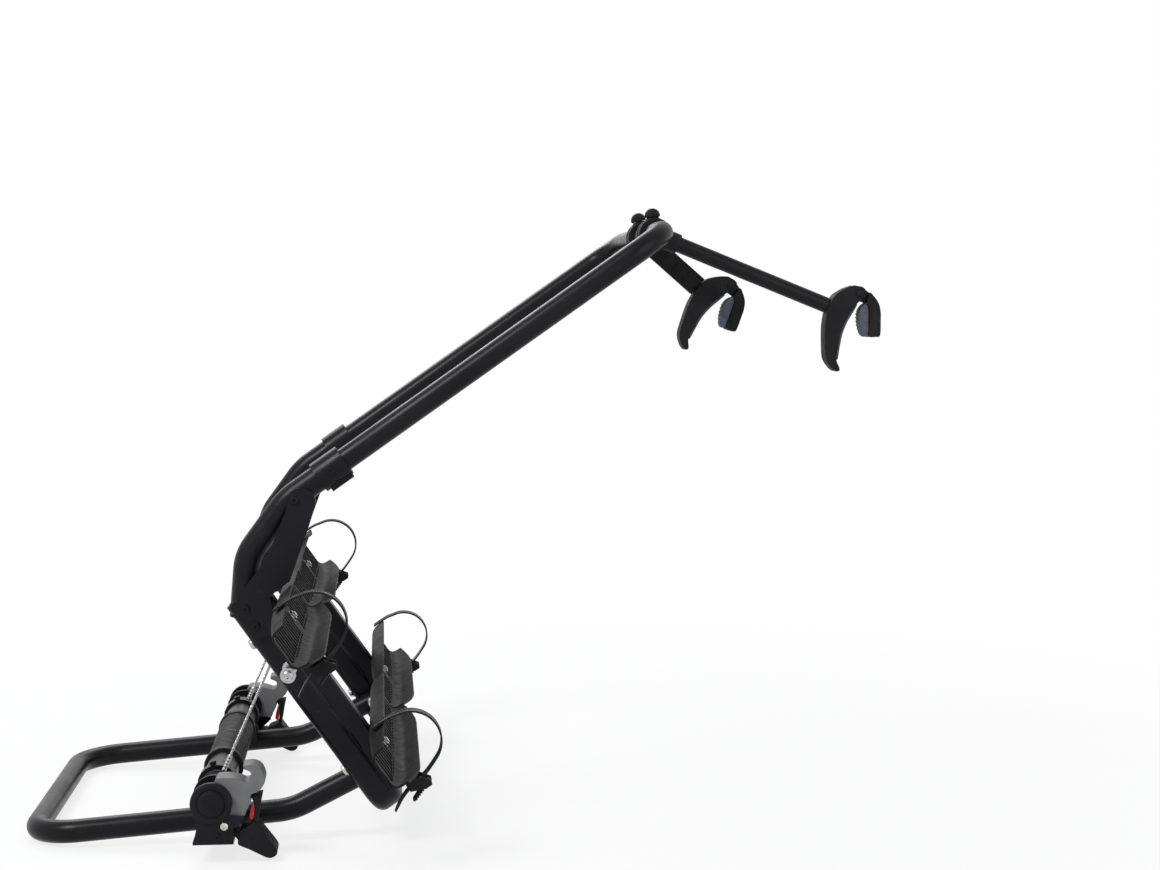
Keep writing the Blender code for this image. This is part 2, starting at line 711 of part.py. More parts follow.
def frame_path():
    side = FRAME_HALF_WIDTH
    corners = [(FRAME_REAR_X, -side, FRAME_Z), (FRAME_FRONT_X, -side, FRAME_Z),
               (FRAME_FRONT_X, side, FRAME_Z), (FRAME_REAR_X, side, FRAME_Z)]
    return rounded(corners, [0, FRAME_BEND, FRAME_BEND, 0], 4)


def frame_top():
    return FRAME_Z + FRAME_HIGH / 2


def tray_bottom():
    return frame_top() + TRACK_HIGH + GAP


def track(side):
    """Channel, open below, welded on the shoulders of the frame tube."""
    middle = side * FRAME_HALF_WIDTH
    half = TRACK_WIDE / 2
    top = frame_top() + TRACK_HIGH
    foot = frame_top() - FRAME_ROUND * 0.75
    outline = [(middle - half, foot), (middle - half, top), (middle + half, top), (middle + half, foot),
               (middle + half - TRACK_WALL, foot), (middle + half - TRACK_WALL, top - TRACK_WALL),
               (middle - half + TRACK_WALL, top - TRACK_WALL), (middle - half + TRACK_WALL, foot)]
    return plate(outline, FRAME_REAR_X + 0.001, TRACK_FRONT_X, plane="YZ")


def stub_path(side):
    y = side * LEG_HALF_WIDTH
    return rounded([(-0.262, y, -0.0155), (-0.3225, y, 0.035), (LEG_X, y, 0.118), (LEG_X, y, STUB_TOP)],
                   [0, 0.06, 0.10, 0], 5)


def stub(side):
    """Bent socket for a leg of the hoop, open at the top, that starts in the frame's open end."""
    y = side * LEG_HALF_WIDTH
    keep_out = box((FRAME_REAR_X + 0.0015, y - 0.04, -0.08), (-0.20, y + 0.04, 0.08))
    inner = tube(lengthened(stub_path(side), 0.004), LEG_R + GAP)
    return cut(tube(stub_path(side), STUB_R), inner, keep_out)


def insert(x, z, side):
    """Threaded block across the inside of the frame tube."""
    middle = side * FRAME_HALF_WIDTH
    reach = side * (FRAME_WIDE - FRAME_WALL) / 2
    return rod((x, middle - reach, z), (x, middle + reach, z), INSERT_R, 16)


def build_platform_frame(platform):
    """The welded frame: U of oval tube, tray channels, hoop sockets and threaded blocks."""
    outer = join(oval(frame_path(), FRAME_WIDE, FRAME_HIGH, FRAME_ROUND, 3), track(NEAR), track(FAR))
    inner = oval(lengthened(frame_path(), 0.004), FRAME_WIDE - 2 * FRAME_WALL, FRAME_HIGH - 2 * FRAME_WALL,
                 FRAME_ROUND - FRAME_WALL, 2)
    hollow = cut(outer, inner)
    blocks = [insert(x, z, s) for _, s in SIDES for x, z in ((0.0, 0.0), (STUD_X, STUD_Z))]
    frame = join(hollow, *blocks, stub(NEAR), stub(FAR))
    bores = []
    for _, side in SIDES:
        middle = side * FRAME_HALF_WIDTH
        bores.append(rod((0, middle - side * FRAME_WIDE, 0), (0, middle + side * (HINGE_BOLT_DEPTH + GAP), 0),
                         HINGE_BOLT_R + GAP, 16))
        bores.append(rod((STUD_X, middle - side * (STUD_DEPTH + GAP), STUD_Z),
                         (STUD_X, middle + side * FRAME_WIDE, STUD_Z), STUD_R + GAP, 16))
        for x in TRAY_BOLT_X:
            bores.append(rod((x, middle, FRAME_Z - FRAME_HIGH), (x, middle, FRAME_Z + FRAME_HIGH),
                             TRAY_BOLT_R + GAP, 12))
        for x, z in GUSSET_RAIL_HOLES:
            bores.append(rod((x, middle, z), (x, middle + side * FRAME_WIDE, z), GUSSET_SCREW_R + GAP, 12))
        leg = side * LEG_HALF_WIDTH
        bores.append(rod((LEG_X, leg, COLLAR_SCREW_Z), (LEG_X, leg + side * 0.03, COLLAR_SCREW_Z),
                         COLLAR_SCREW_R + GAP, 12))
    part(cut(frame, *bores), "platform_frame", platform, "black_coat")


def build_platform_stay(platform):
    end = FRAME_HALF_WIDTH - FRAME_WIDE / 2 - GAP
    obj = pipe([Vector((STAY_X, -end, STAY_Z)), Vector((STAY_X, end, STAY_Z))], STAY_R, STAY_WALL)
    part(obj, "platform_stay", platform, "black_coat")


def build_stub_collars(platform):
    """Clamp collars round the sockets' tops, with a slit lug, its screw and one that holds the leg."""
    for name, side in SIDES:
        y = side * LEG_HALF_WIDTH
        ring = rod((LEG_X, y, COLLAR_LOW), (LEG_X, y, COLLAR_HIGH), COLLAR_R, 20)
        lug = box((LEG_X, y - COLLAR_LUG_HALF, COLLAR_LOW + 0.006),
                  (COLLAR_LUG_X, y + COLLAR_LUG_HALF, COLLAR_HIGH - 0.002))
        bore = rod((LEG_X, y, COLLAR_LOW - THROUGH), (LEG_X, y, STUB_TOP + GAP),
                   (STUB_R + GAP) / math.cos(math.pi / COLLAR_SIDES), COLLAR_SIDES)
        mouth = rod((LEG_X, y, COLLAR_LOW - THROUGH), (LEG_X, y, COLLAR_HIGH + THROUGH), LEG_R + 2 * GAP,
                    COLLAR_SIDES)
        slit = box((LEG_X + 0.008, y - 0.0012, COLLAR_LOW - THROUGH),
                   (COLLAR_LUG_X + 0.004, y + 0.0012, COLLAR_HIGH + THROUGH))
        body = cut(join(ring, lug), bore, mouth, slit)
        leg_screw = bolt((LEG_X, y + side * (COLLAR_R - 4 * SUNK), COLLAR_SCREW_Z), (0, side, 0),
                         *COLLAR_SCREW_HEAD, COLLAR_SCREW_R, COLLAR_R - 4 * SUNK - LEG_R - GAP)
        lug_screw = bolt((COLLAR_LUG_X - 0.005, y + side * (COLLAR_LUG_HALF - SUNK), COLLAR_SCREW_Z),
                         (0, side, 0), *LUG_SCREW_HEAD, LUG_SCREW_R, 2 * COLLAR_LUG_HALF - 0.001)
        part(join(body, leg_screw, lug_screw), f"{name}_stub_collar", platform, "black_coat")


def build_gussets(platform):
    """Flat braces from the frame's outer face up to the socket, with their three screws."""
    outline = [(-0.2805, -0.0150), (-0.2300, -0.0150), (-0.2240, 0.0060), (-0.2400, 0.0200),
               (-0.2655, 0.0300), (-0.2665, 0.0620), (-0.2827, 0.0844), (-0.3058, 0.1175), (-0.3245, 0.1420)]
    outline += arc((-0.3395, 0.1315), 0.0185, 35, 200, 8)
    outline += [(-0.3420, 0.1100), (-0.3310, 0.0925), (-0.3160, 0.0690), (-0.3005, 0.0355), (-0.2920, 0.0070)]
    inner = FRAME_FACE + GAP
    outer = inner + GUSSET_THICK
    for name, side in SIDES:
        seat = outer - SUNK
        reaches = [(hole, seat - FRAME_FACE + FRAME_WALL + 0.003) for hole in GUSSET_RAIL_HOLES]
        reaches.append((GUSSET_STUB_HOLE, seat - LEG_HALF_WIDTH - STUB_R - GAP))
        screws = [bolt((x, side * seat, z), (0, side, 0), GUSSET_SCREW_HEAD_R, GUSSET_SCREW_HEAD_HIGH,
                       GUSSET_SCREW_R, reach) for (x, z), reach in reaches]
        obj = join(plate(outline, side * inner, side * outer), *screws)
        part(obj, f"{name}_gusset", platform, "black_coat")


def build_hinge_bolts(platform):
    """Shoulder bolts put in from inside the base tubes."""
    seat = BASE_HALF_WIDTH - BASE_TUBE_R - HINGE_EYE_PROUD - GAP
    reach = FRAME_HALF_WIDTH + HINGE_BOLT_DEPTH - seat
    for name, side in SIDES:
        obj = bolt((0, side * seat, 0), (0, -side, 0), HINGE_BOLT_HEAD_R, HINGE_BOLT_HEAD_HIGH,
                   HINGE_BOLT_R, reach, 18)
        part(obj, f"{name}_hinge_bolt", platform, "zinc")


def build_lock_studs(platform):
    """Studs that the hooks catch, each with a collar on the frame and a washer and bolt head at its end."""
    start = FRAME_HALF_WIDTH - STUD_DEPTH
    face = FRAME_FACE + GAP
    end = OUTER_CHEEK_Y
    washer = end + 0.0025
    profile = [(0.0, washer + 0.003), (0.003, washer + 0.003), (0.003, washer + 0.007),
               (STUD_HEAD_R - 0.001, washer + 0.007), (STUD_HEAD_R, washer + 0.006), (STUD_HEAD_R, washer),
               (STUD_WASHER_R, washer), (STUD_WASHER_R, end), (STUD_R, end), (STUD_R, face + 0.003),
               (STUD_COLLAR_R, face + 0.003), (STUD_COLLAR_R, face), (STUD_R, face), (STUD_R, start),
               (0.0, start)]
    for name, side in SIDES:
        obj = turned(profile, (STUD_X, 0, STUD_Z), (0, side, 0), 18)
        part(obj, f"{name}_lock_stud", platform, "stainless")


def tray_span(tray, half):
    """The two ends along Y of one half of a tray."""
    middle = TRAY_SHIFT[tray]
    if half == NEAR:
        return middle - TRAY_LONG - TRAY_BREAK / 2, middle - TRAY_BREAK / 2
    return middle + TRAY_BREAK / 2, middle + TRAY_LONG + TRAY_BREAK / 2


def tray_size(t):
    """Half width and wall height of a tray at a place from -1 to 1 along it."""
    taper = max(0.0, (abs(t) - TRAY_STRAIGHT) / (1 - TRAY_STRAIGHT)) ** 2
    width = TRAY_HALF_WIDTH + (TRAY_END_HALF_WIDTH - TRAY_HALF_WIDTH) * taper
    return width, TRAY_WALL_HIGH * (1.0 - TRAY_END_DROP * taper)


def tray_section(t):
    """Inner face of the channel across its width, from the left wall's top to the right one's."""
    width, height = tray_size(t)
    width -= TRAY_SKIN
    height -= TRAY_SKIN
    floor = tray_bottom() + TRAY_SKIN
    flat = width * 0.62
    right = [(0.0, floor), (flat, floor)]
    right += [(flat + (width - flat) * across, floor + height * up)
              for across, up in ((0.55, 0.12), (0.86, 0.38), (1.0, 1.0))]
    return [(-u, v) for u, v in right[:0:-1]] + right


def tray_shell(x, low, high):
    """Open surface lofted along Y, thickened downwards and outwards."""
    stations = 13
    bm = bmesh.new()
    rows = []
    for k in range(stations):
        t = -1 + 2 * k / (stations - 1)
        y = low + (high - low) * (t + 1) / 2
        rows.append([bm.verts.new((x + u, y, v)) for u, v in tray_section(t)])
    for a, b in zip(rows, rows[1:]):
        for i in range(len(a) - 1):
            bm.faces.new((a[i], a[i + 1], b[i + 1], b[i]))
    mesh = bpy.data.meshes.new("tray")
    bm.to_mesh(mesh)
    bm.free()
    obj = bpy.data.objects.new("tray", mesh)
    PARTS.objects.link(obj)
    skin = obj.modifiers.new("skin", "SOLIDIFY")
    skin.thickness = TRAY_SKIN
    skin.offset = -1
    skin.use_even_offset = True
    bpy.context.view_layer.update()
    return solid(obj)


def build_wheel_trays(platform):
    """Boat-shaped wheel channels that narrow towards both ends."""
    for tray, x in enumerate(TRAY_X):
        for name, half in SIDES:
            low, high = tray_span(tray, half)
            bolt_x = TRAY_BOLT_X[tray]
            hole = rod((bolt_x, half * FRAME_HALF_WIDTH, frame_top()),
                       (bolt_x, half * FRAME_HALF_WIDTH, tray_bottom() + 0.02), TRAY_BOLT_R + GAP, 12)
            body = cut(tray_shell(x, low, high), hole)
            part(body, f"wheel_tray_{tray + 1}_{name}", platform, "black_plastic")


def build_tray_bolts(platform):
    """Bolts up through the frame, each with its nut on the tray's floor."""
    under = FRAME_Z - FRAME_HIGH / 2 - GAP
    floor = tray_bottom() + TRAY_SKIN + GAP
    nut = floor + TRAY_NUT_HIGH
    end = nut + 0.001
    for tray, x in enumerate(TRAY_BOLT_X):
        for name, side in SIDES:
            profile = [(0.0, end), (TRAY_BOLT_R, end), (TRAY_BOLT_R, nut), (TRAY_NUT_R, nut),
                       (TRAY_NUT_R, floor), (TRAY_BOLT_R, floor), (TRAY_BOLT_R, under), (TRAY_NUT_R, under),
                       (TRAY_NUT_R, under - TRAY_HEAD_HIGH), (0.0, under - TRAY_HEAD_HIGH)]
            obj = turned(profile, (x, side * FRAME_HALF_WIDTH, 0), (0, 0, 1), 12)
            part(obj, f"tray_bolt_{tray + 1}_{name}", platform, "zinc")


def strap_places():
    """Tray number, end name and Y of each strap."""
    places = []
    for tray in (0, 1):
        for name, half in SIDES:
            low, high = tray_span(tray, half)
            end = low if half == NEAR else high
            places.append((tray, name, end - half * STRAP_INSET))
    return places


def strap_lines(tray):
    """The strap's middle line beside the tray's right wall, and the wall's top, in X and Z."""
    width, height = tray_size(1 - 2 * (STRAP_INSET + BUCKLE_WIDE / 2) / TRAY_LONG)
    return TRAY_X[tray], width + GAP + STRAP_THICK / 2, tray_bottom() + height


def ribbon(points, thick):
    """Outline of a strip of even thickness along the points."""
    left, right = [], []
    for i, p in enumerate(points):
        ahead = Vector(points[min(i + 1, len(points) - 1)]) - Vector(points[max(i - 1, 0)])
        normal = Vector((-ahead.y, ahead.x)).normalized() * thick / 2
        left.append((p[0] + normal.x, p[1] + normal.y))
        right.append((p[0] - normal.x, p[1] - normal.y))
    return left + right[::-1]


def build_straps(platform):
    """Toothed straps, closed and empty: up from the left wall, over the tray and down its right side."""
    for tray, name, y in strap_places():
        x, outside, top = strap_lines(tray)
        path = [(x - outside, top - 0.016), (x - outside, top - 0.004), (x - outside + 0.001, top + 0.010)]
        path += arc((x, top + 0.014), outside - 0.003, 172, 20, 9)
        path += [(x + outside + 0.0010, top + 0.010), (x + outside + 0.0042, top - 0.004),
                 (x + outside + 0.0060, top - 0.020), (x + outside + 0.0110, top - 0.036),
                 (x + outside + 0.0200, top - 0.053)]
        strip = plate(ribbon(path, STRAP_THICK), y - STRAP_WIDE / 2, y + STRAP_WIDE / 2)
        part(strip, f"strap_{tray + 1}_{name}", platform, "black_plastic")


def build_buckles(platform):
    """Housings outside the tray's right wall, with the strap between their sides and a pin for the lever."""
    for tray, name, y in strap_places():
        x, outside, top = strap_lines(tray)
        back = x + outside - STRAP_THICK / 2
        inner = STRAP_WIDE / 2 + 0.0006
        outer = BUCKLE_WIDE / 2
        side_wall = [(back, top - 0.022), (back + 0.010, top - 0.022), (back + 0.0185, top - 0.004),
                     (back + 0.0185, top + 0.005), (back + 0.0135, top + 0.007), (back, top - 0.002)]
        walls = [plate(side_wall, y + s * inner, y + s * outer) for s in (NEAR, FAR)]
        back_plate = box((back + SUNK, y - inner - 0.001, top - 0.0215),
                         (back + 0.0014, y + inner + 0.001, top - 0.010))
        pin_x, pin_z = x + outside + BUCKLE_PIN[0], top + BUCKLE_PIN[1]
        pin = rod((pin_x, y - outer + 0.001, pin_z), (pin_x, y + outer - 0.001, pin_z), LEVER_PIN_R, 10)
        part(join(back_plate, *walls, pin), f"buckle_{tray + 1}_{name}", platform, "black_plastic")


def build_buckle_levers(platform):
    """Release levers, each turning on its buckle's pin."""
    for tray, name, y in strap_places():
        middle, outside, top = strap_lines(tray)
        x = middle + outside + BUCKLE_PIN[0]
        z = top + BUCKLE_PIN[1]
        outline = arc((x, z), 0.0040, 150, -60, 8)
        outline += [(x + 0.0060, z - 0.016), (x + 0.0095, z - 0.026), (x + 0.0070, z - 0.0275),
                    (x + 0.0030, z - 0.018), (x - 0.0026, z - 0.0060)]
        pivot = Pivot(f"lever_{tray + 1}_{name}_axis", platform, (x, y, z))
        half = STRAP_WIDE / 2 + 0.0003
        obj = plate(outline, y - half, y + half, holes=[circle((x, z), LEVER_PIN_R + GAP, 10)])
        part(obj, f"buckle_lever_{tray + 1}_{name}", pivot, "black_plastic")


# Hoop and arms

def build_hoop(hoop):
    y = LEG_HALF_WIDTH
    path = rounded([(LEG_X, -y, HOOP_FOOT), (LEG_X, -y, HOOP_TOP), (LEG_X, y, HOOP_TOP),
                    (LEG_X, y, HOOP_FOOT)], [0, HOOP_BEND, HOOP_BEND, 0], 7)
    part(pipe(path, LEG_R, LEG_WALL), "hoop", hoop, "black_coat")


def arm_hub(direction):
    """Ring on the hoop's top bar with a boss for the knob, in the arm's frame."""
    ring = rod((0, -ARM_HUB_HALF, 0), (0, ARM_HUB_HALF, 0), ARM_HUB_R, 24)
    boss = rod((0, 0, 0), direction * (ARM_HUB_R + 0.001), 0.0085, 14)
    return join(ring, boss)


def hub_bores(direction):
    return (rod((0, -0.04, 0), (0, 0.04, 0), LEG_R + GAP, 24),
            rod((0, 0, 0), direction * 0.05, KNOB_SHANK_R + GAP, 12))


def build_long_arm(arm, length, direction):
    """Hub with a socket for the round arm."""
    socket = rod((ARM_HUB_R - 0.004, 0, 0), (ARM_HUB_R + 0.014, 0, 0), LONG_ARM_R + 0.0030, 18)
    seat = rod((ARM_HUB_R + 0.002, 0, 0), (ARM_HUB_R + 0.03, 0, 0), LONG_ARM_R + GAP, 20)
    body = cut(join(arm_hub(direction), socket), *hub_bores(direction), seat)
    part(body, "long_arm_clamp", arm, "black_plastic")
    bar = pipe([Vector((ARM_HUB_R + 0.002 + GAP, 0, 0)), Vector((length + ARM_IN_CLAW, 0, 0))], LONG_ARM_R,
               LONG_ARM_WALL)
    part(bar, "long_arm_tube", arm, "black_coat")


def build_short_arm(arm, length, direction):
    bar = box((ARM_HUB_R - 0.006, -SHORT_ARM_THICK / 2, -SHORT_ARM_HIGH / 2),
              (length - GAP, SHORT_ARM_THICK / 2, SHORT_ARM_HIGH / 2))
    part(cut(join(arm_hub(direction), bar), *hub_bores(direction)), "short_arm", arm, "black_plastic")


def build_knob(name, pivot, direction):
    """A domed clamp knob with its screw, along its own axis from the hoop's bar."""
    start = ARM_HUB_R + 0.001 + GAP
    profile = [(0.0, start + KNOB_HIGH), (KNOB_R * 0.55, start + KNOB_HIGH * 0.96),
               (KNOB_R * 0.86, start + KNOB_HIGH * 0.78), (KNOB_R, start + KNOB_HIGH * 0.5),
               (KNOB_R, start + 0.001), (KNOB_R - 0.001, start), (KNOB_SHANK_R, start),
               (KNOB_SHANK_R, LEG_R + GAP), (0.0, LEG_R + GAP)]
    part(turned(profile, (0, 0, 0), direction, 20), name, pivot, "black_plastic")


def from_arm_end(length, points):
    """Points in millimetres from the arm's end, as metres in the arm's frame."""
    return [(length + u / 1000, w / 1000) for u, w in points]


def build_claw(kind, arm, jaw, length):
    """Fixed jaw with the pin of the moving one, the moving jaw and its pad."""
    pivot = (length + CLAW_PIVOT_X, CLAW_PIVOT_Z)
    half = CLAW_HALF_WIDTH
    knuckle = CLAW_KNUCKLE_HALF
    back = [(0, -6), (1, 13), (7, 24), (14, 32), (22, 38.5)]
    inside = [(35.5, 19), (33, 11), (31, 3), (28.6, -11), (28.6, -29), (32.6, -48), (36.6, -64), (45.6, -74),
              (45, -78.5), (40, -79), (32.6, -76), (22.6, -68), (14.6, -52), (4.6, -27)]
    head = arc(pivot, CLAW_EAR_R, 105, -60, 8)
    outline = from_arm_end(length, back) + head + from_arm_end(length, inside)
    tools = [rod((pivot[0], -knuckle - GAP, pivot[1]), (pivot[0], knuckle + GAP, pivot[1]),
                 CLAW_EAR_R + 0.0012, 20)]
    if kind == "long":
        tools.append(rod((length - 0.05, 0, 0), (length + ARM_IN_CLAW + GAP, 0, 0), LONG_ARM_R + GAP, 20))
    pin = turned([(0.0, half + 0.003), (0.0050, half + 0.0024), (0.0050, half - 0.001),
                  (CLAW_PIN_R, half - 0.001), (CLAW_PIN_R, 0.001 - half), (0.0, 0.001 - half)],
                 (pivot[0], 0, pivot[1]), (0, -1, 0), 14)
    part(join(cut(plate(outline, -half, half), *tools), pin), f"{kind}_claw", arm, "black_plastic")

    blade = [(45, 37), (53, 34.5), (62.6, 28), (73.6, 8), (80.6, -11), (76, -15.5), (66.5, -17.5), (60, 0),
             (53, 17), (47, 22.5)]
    neck = arc(pivot, CLAW_EAR_R - GAP, 80, 280, 10) + from_arm_end(length, [(50, 23), (52, 36)])
    moving = join(plate(from_arm_end(length, blade), -half, half), plate(neck, -knuckle, knuckle))
    hole = rod((pivot[0], -half, pivot[1]), (pivot[0], half, pivot[1]), CLAW_PIN_R + GAP, 14)
    part(cut(moving, hole), f"{kind}_jaw", jaw, "black_plastic")

    pad = [(46.7, 21.8), (52.6, 16.6), (59.6, -0.4), (66, -17.9), (59, -19.5), (50, -9), (43.5, 5),
           (42.5, 14)]
    shape = plate(from_arm_end(length, pad), 0.003 - half, half - 0.003)
    part(shape, f"{kind}_jaw_pad", jaw, "grey_rubber")


class Arm:
    """Pivots of an arm on the hoop's top bar, with +X along the arm."""

    def __init__(self, kind, hoop, y, angle, knob_angle, length):
        self.swing = Pivot(f"{kind}_arm_axis", hoop, (LEG_X, y, HOOP_TOP), -angle, redraw=True)
        self.knob = Pivot(f"{kind}_knob_axis", self.swing, (0, 0, 0))
        self.jaw = Pivot(f"{kind}_jaw_axis", self.swing, (length + CLAW_PIVOT_X, 0, CLAW_PIVOT_Z))
        self.screw = Vector((math.cos(knob_angle - angle), 0, math.sin(knob_angle - angle)))


def build():
    platform = Pivot("platform_axis", None, (HINGE_X, 0, HINGE_Z), TILT, redraw=True)
    locks = {}
    for name, side in SIDES:
        locks[f"{name}_hook"] = Pivot(f"{name}_hook_axis", None, (HOOK_X, side * HOOK_IN, HOOK_Z))
        locks[f"{name}_pedal"] = Pivot(f"{name}_pedal_axis", None, (PEDAL_X, side * HOOK_IN, PEDAL_Z))
    hoop = Pivot("hoop_axis", platform, (LEG_X, 0, STUB_TOP))

    build_base_frame()
    build_cross_tube()
    build_cross_clamps()
    build_lock_brackets()
    build_lock_covers()
    build_hook_bolts()
    build_hooks(locks)
    build_pedals(locks)
    build_check_cables()

    build_platform_frame(platform)
    build_platform_stay(platform)
    build_stub_collars(platform)
    build_gussets(platform)
    build_hinge_bolts(platform)
    build_lock_studs(platform)
    build_wheel_trays(platform)
    build_tray_bolts(platform)
    build_straps(platform)
    build_buckles(platform)
    build_buckle_levers(platform)

    build_hoop(hoop)
    long_arm = Arm("long", hoop, LONG_ARM_Y, LONG_ARM_ANGLE, LONG_KNOB_ANGLE, LONG_ARM_LENGTH)
    build_long_arm(long_arm.swing, LONG_ARM_LENGTH, long_arm.screw)
    build_knob("long_arm_knob", long_arm.knob, long_arm.screw)
    build_claw("long", long_arm.swing, long_arm.jaw, LONG_ARM_LENGTH)
    short_arm = Arm("short", hoop, SHORT_ARM_Y, SHORT_ARM_ANGLE, SHORT_KNOB_ANGLE, SHORT_ARM_LENGTH)
    build_short_arm(short_arm.swing, SHORT_ARM_LENGTH, short_arm.screw)
    build_knob("short_arm_knob", short_arm.knob, short_arm.screw)
    build_claw("short", short_arm.swing, short_arm.jaw, SHORT_ARM_LENGTH)


build()
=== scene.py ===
"""Visual model of a tilting bicycle carrier for a caravan drawbar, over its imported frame.

World frame: +X towards the towing vehicle, +Y across the drawbar, +Z up, in metres. Platform shapes are
drawn in the platform's level frame, whose origin is the tilt hinge, and moved by LEVEL. Arm shapes are
drawn along +X from the hoop's top bar and moved by the arm's own matrix. Outlines and lathe profiles
inside mm(), and the heights inside shares(), are in millimetres.
"""
import math

import bmesh
import bpy
from mathutils import Matrix, Vector


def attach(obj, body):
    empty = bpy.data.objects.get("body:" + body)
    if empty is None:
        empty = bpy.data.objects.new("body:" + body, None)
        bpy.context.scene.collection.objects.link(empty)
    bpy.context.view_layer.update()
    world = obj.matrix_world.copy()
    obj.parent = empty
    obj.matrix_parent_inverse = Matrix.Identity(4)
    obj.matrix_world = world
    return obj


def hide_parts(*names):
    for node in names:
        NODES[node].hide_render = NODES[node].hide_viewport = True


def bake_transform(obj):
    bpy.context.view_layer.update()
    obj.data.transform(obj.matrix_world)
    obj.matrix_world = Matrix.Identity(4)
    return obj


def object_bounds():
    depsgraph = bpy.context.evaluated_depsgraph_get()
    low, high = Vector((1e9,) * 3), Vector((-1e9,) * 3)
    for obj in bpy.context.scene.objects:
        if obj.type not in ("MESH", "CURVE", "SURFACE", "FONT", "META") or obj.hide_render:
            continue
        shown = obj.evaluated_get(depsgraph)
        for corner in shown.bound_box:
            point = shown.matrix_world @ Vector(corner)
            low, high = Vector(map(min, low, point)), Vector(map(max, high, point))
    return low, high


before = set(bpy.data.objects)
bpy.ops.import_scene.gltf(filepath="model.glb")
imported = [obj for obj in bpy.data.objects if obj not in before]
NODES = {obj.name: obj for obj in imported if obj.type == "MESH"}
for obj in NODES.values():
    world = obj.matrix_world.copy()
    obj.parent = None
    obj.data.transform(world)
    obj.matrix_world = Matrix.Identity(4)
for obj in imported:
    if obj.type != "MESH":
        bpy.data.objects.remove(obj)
CAD_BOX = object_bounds()

SIDES = (("near", -1), ("far", 1))
GAP = 0.0003
RIM = 0.0005

TILT = math.radians(54.8)
HINGE = Vector((0.190, 0.0, 0.079))
LEVEL = Matrix.Translation(HINGE) @ Matrix.Rotation(TILT, 4, "Y")

BASE_Y = 0.235
BASE_R = 0.015
BASE_WALL = 0.002
BASE_REAR = (-0.249, -0.0005)
BASE_RISE = Vector((0.085, 0.0, 0.026))
EYE_PROUD = 0.0005
EYE_BORE = 0.0063
EYE_R = 0.0085
FLANGE_R = 0.0125
CROSS = Vector((-0.0107, 0.0, 0.0605))
CROSS_R = 0.0215
FRAME_WIDE = 0.032
FRAME_HIGH = 0.040
FRAME_WALL = 0.0025
FRAME_ROUND = 0.013
FRAME_Z = -0.0047
FRAME_REAR_X = -0.284
FRAME_FRONT_X = 0.0375
FRAME_Y = BASE_Y + BASE_R + 0.003 + FRAME_WIDE / 2
FRAME_FACE = FRAME_Y + FRAME_WIDE / 2
EYE_INNER = BASE_Y - BASE_R - EYE_PROUD
RAIL_INNER = FRAME_Y - FRAME_WIDE / 2 - GAP
TRACK_HIGH = 0.0166
STAY_X, STAY_Z = -0.217, 0.0195
STAY_R = 0.0125
STAY_WALL = 0.002
CHEEK = 0.004
INNER_CHEEK_Y = FRAME_FACE + 0.0075
HOOK_IN = INNER_CHEEK_Y + CHEEK + 0.002
HOOK_OUT = HOOK_IN + 0.036
OUTER_CHEEK_Y = HOOK_OUT + 0.002
BRACKET_FACE = OUTER_CHEEK_Y + CHEEK
COVER_R = 0.0263
HOOK = (0.0055, 0.0320)
PEDAL = (-0.0031, 0.0183)
STUD = (-0.1753, -0.0038)
ROPE_LAY = 0.013
LEG_X = -0.351
LEG_Y = FRAME_Y - 0.001
LEG_R = 0.015
SOCKET_R = 0.0170
SOCKET_WALL = 0.0017
HOOP_TOP = 0.715
HOOP_WALL = 0.0018
TRAY_X = (-0.2225, -0.0245)
TRAY_SHIFT = (-0.045, 0.045)
TRAY_SPLIT = 0.005
TRAY_LONG = 0.49
TRAY_HALF = 0.040
TRAY_HALF_AT_END = 0.0275
TRAY_WALL_HIGH = 0.030
TRAY_BOTTOM = FRAME_Z + FRAME_HIGH / 2 + TRACK_HIGH + GAP
TRAY_SKIN = 0.0026
STRAP_INSET = 0.075
STRAP_STEP = 0.00075
BAR_R = 0.0107
BAR_WALL = 0.0015
KNOB_R = 0.0106
KNOB_SEAT = 0.0233
# Place along the hoop's top bar, arm's angle, arm's length, knob's angle
ARMS = {"long": (-0.14, math.radians(32.95), 0.2574, math.radians(150)),
        "short": (-0.02, math.radians(13.5), 0.1045, math.radians(159))}


# Materials

def add_node(tree, kind, inputs, operation=None, data_type=None):
    """A new shader node. Each input, by name or number, gets a value or a link from a socket."""
    node = tree.nodes.new("ShaderNode" + kind)
    if operation:
        node.operation = operation
    if data_type:
        node.data_type = data_type
    for key, value in inputs.items():
        if isinstance(value, bpy.types.NodeSocket):
            tree.links.new(value, node.inputs[key])
        else:
            node.inputs[key].default_value = value
    return node


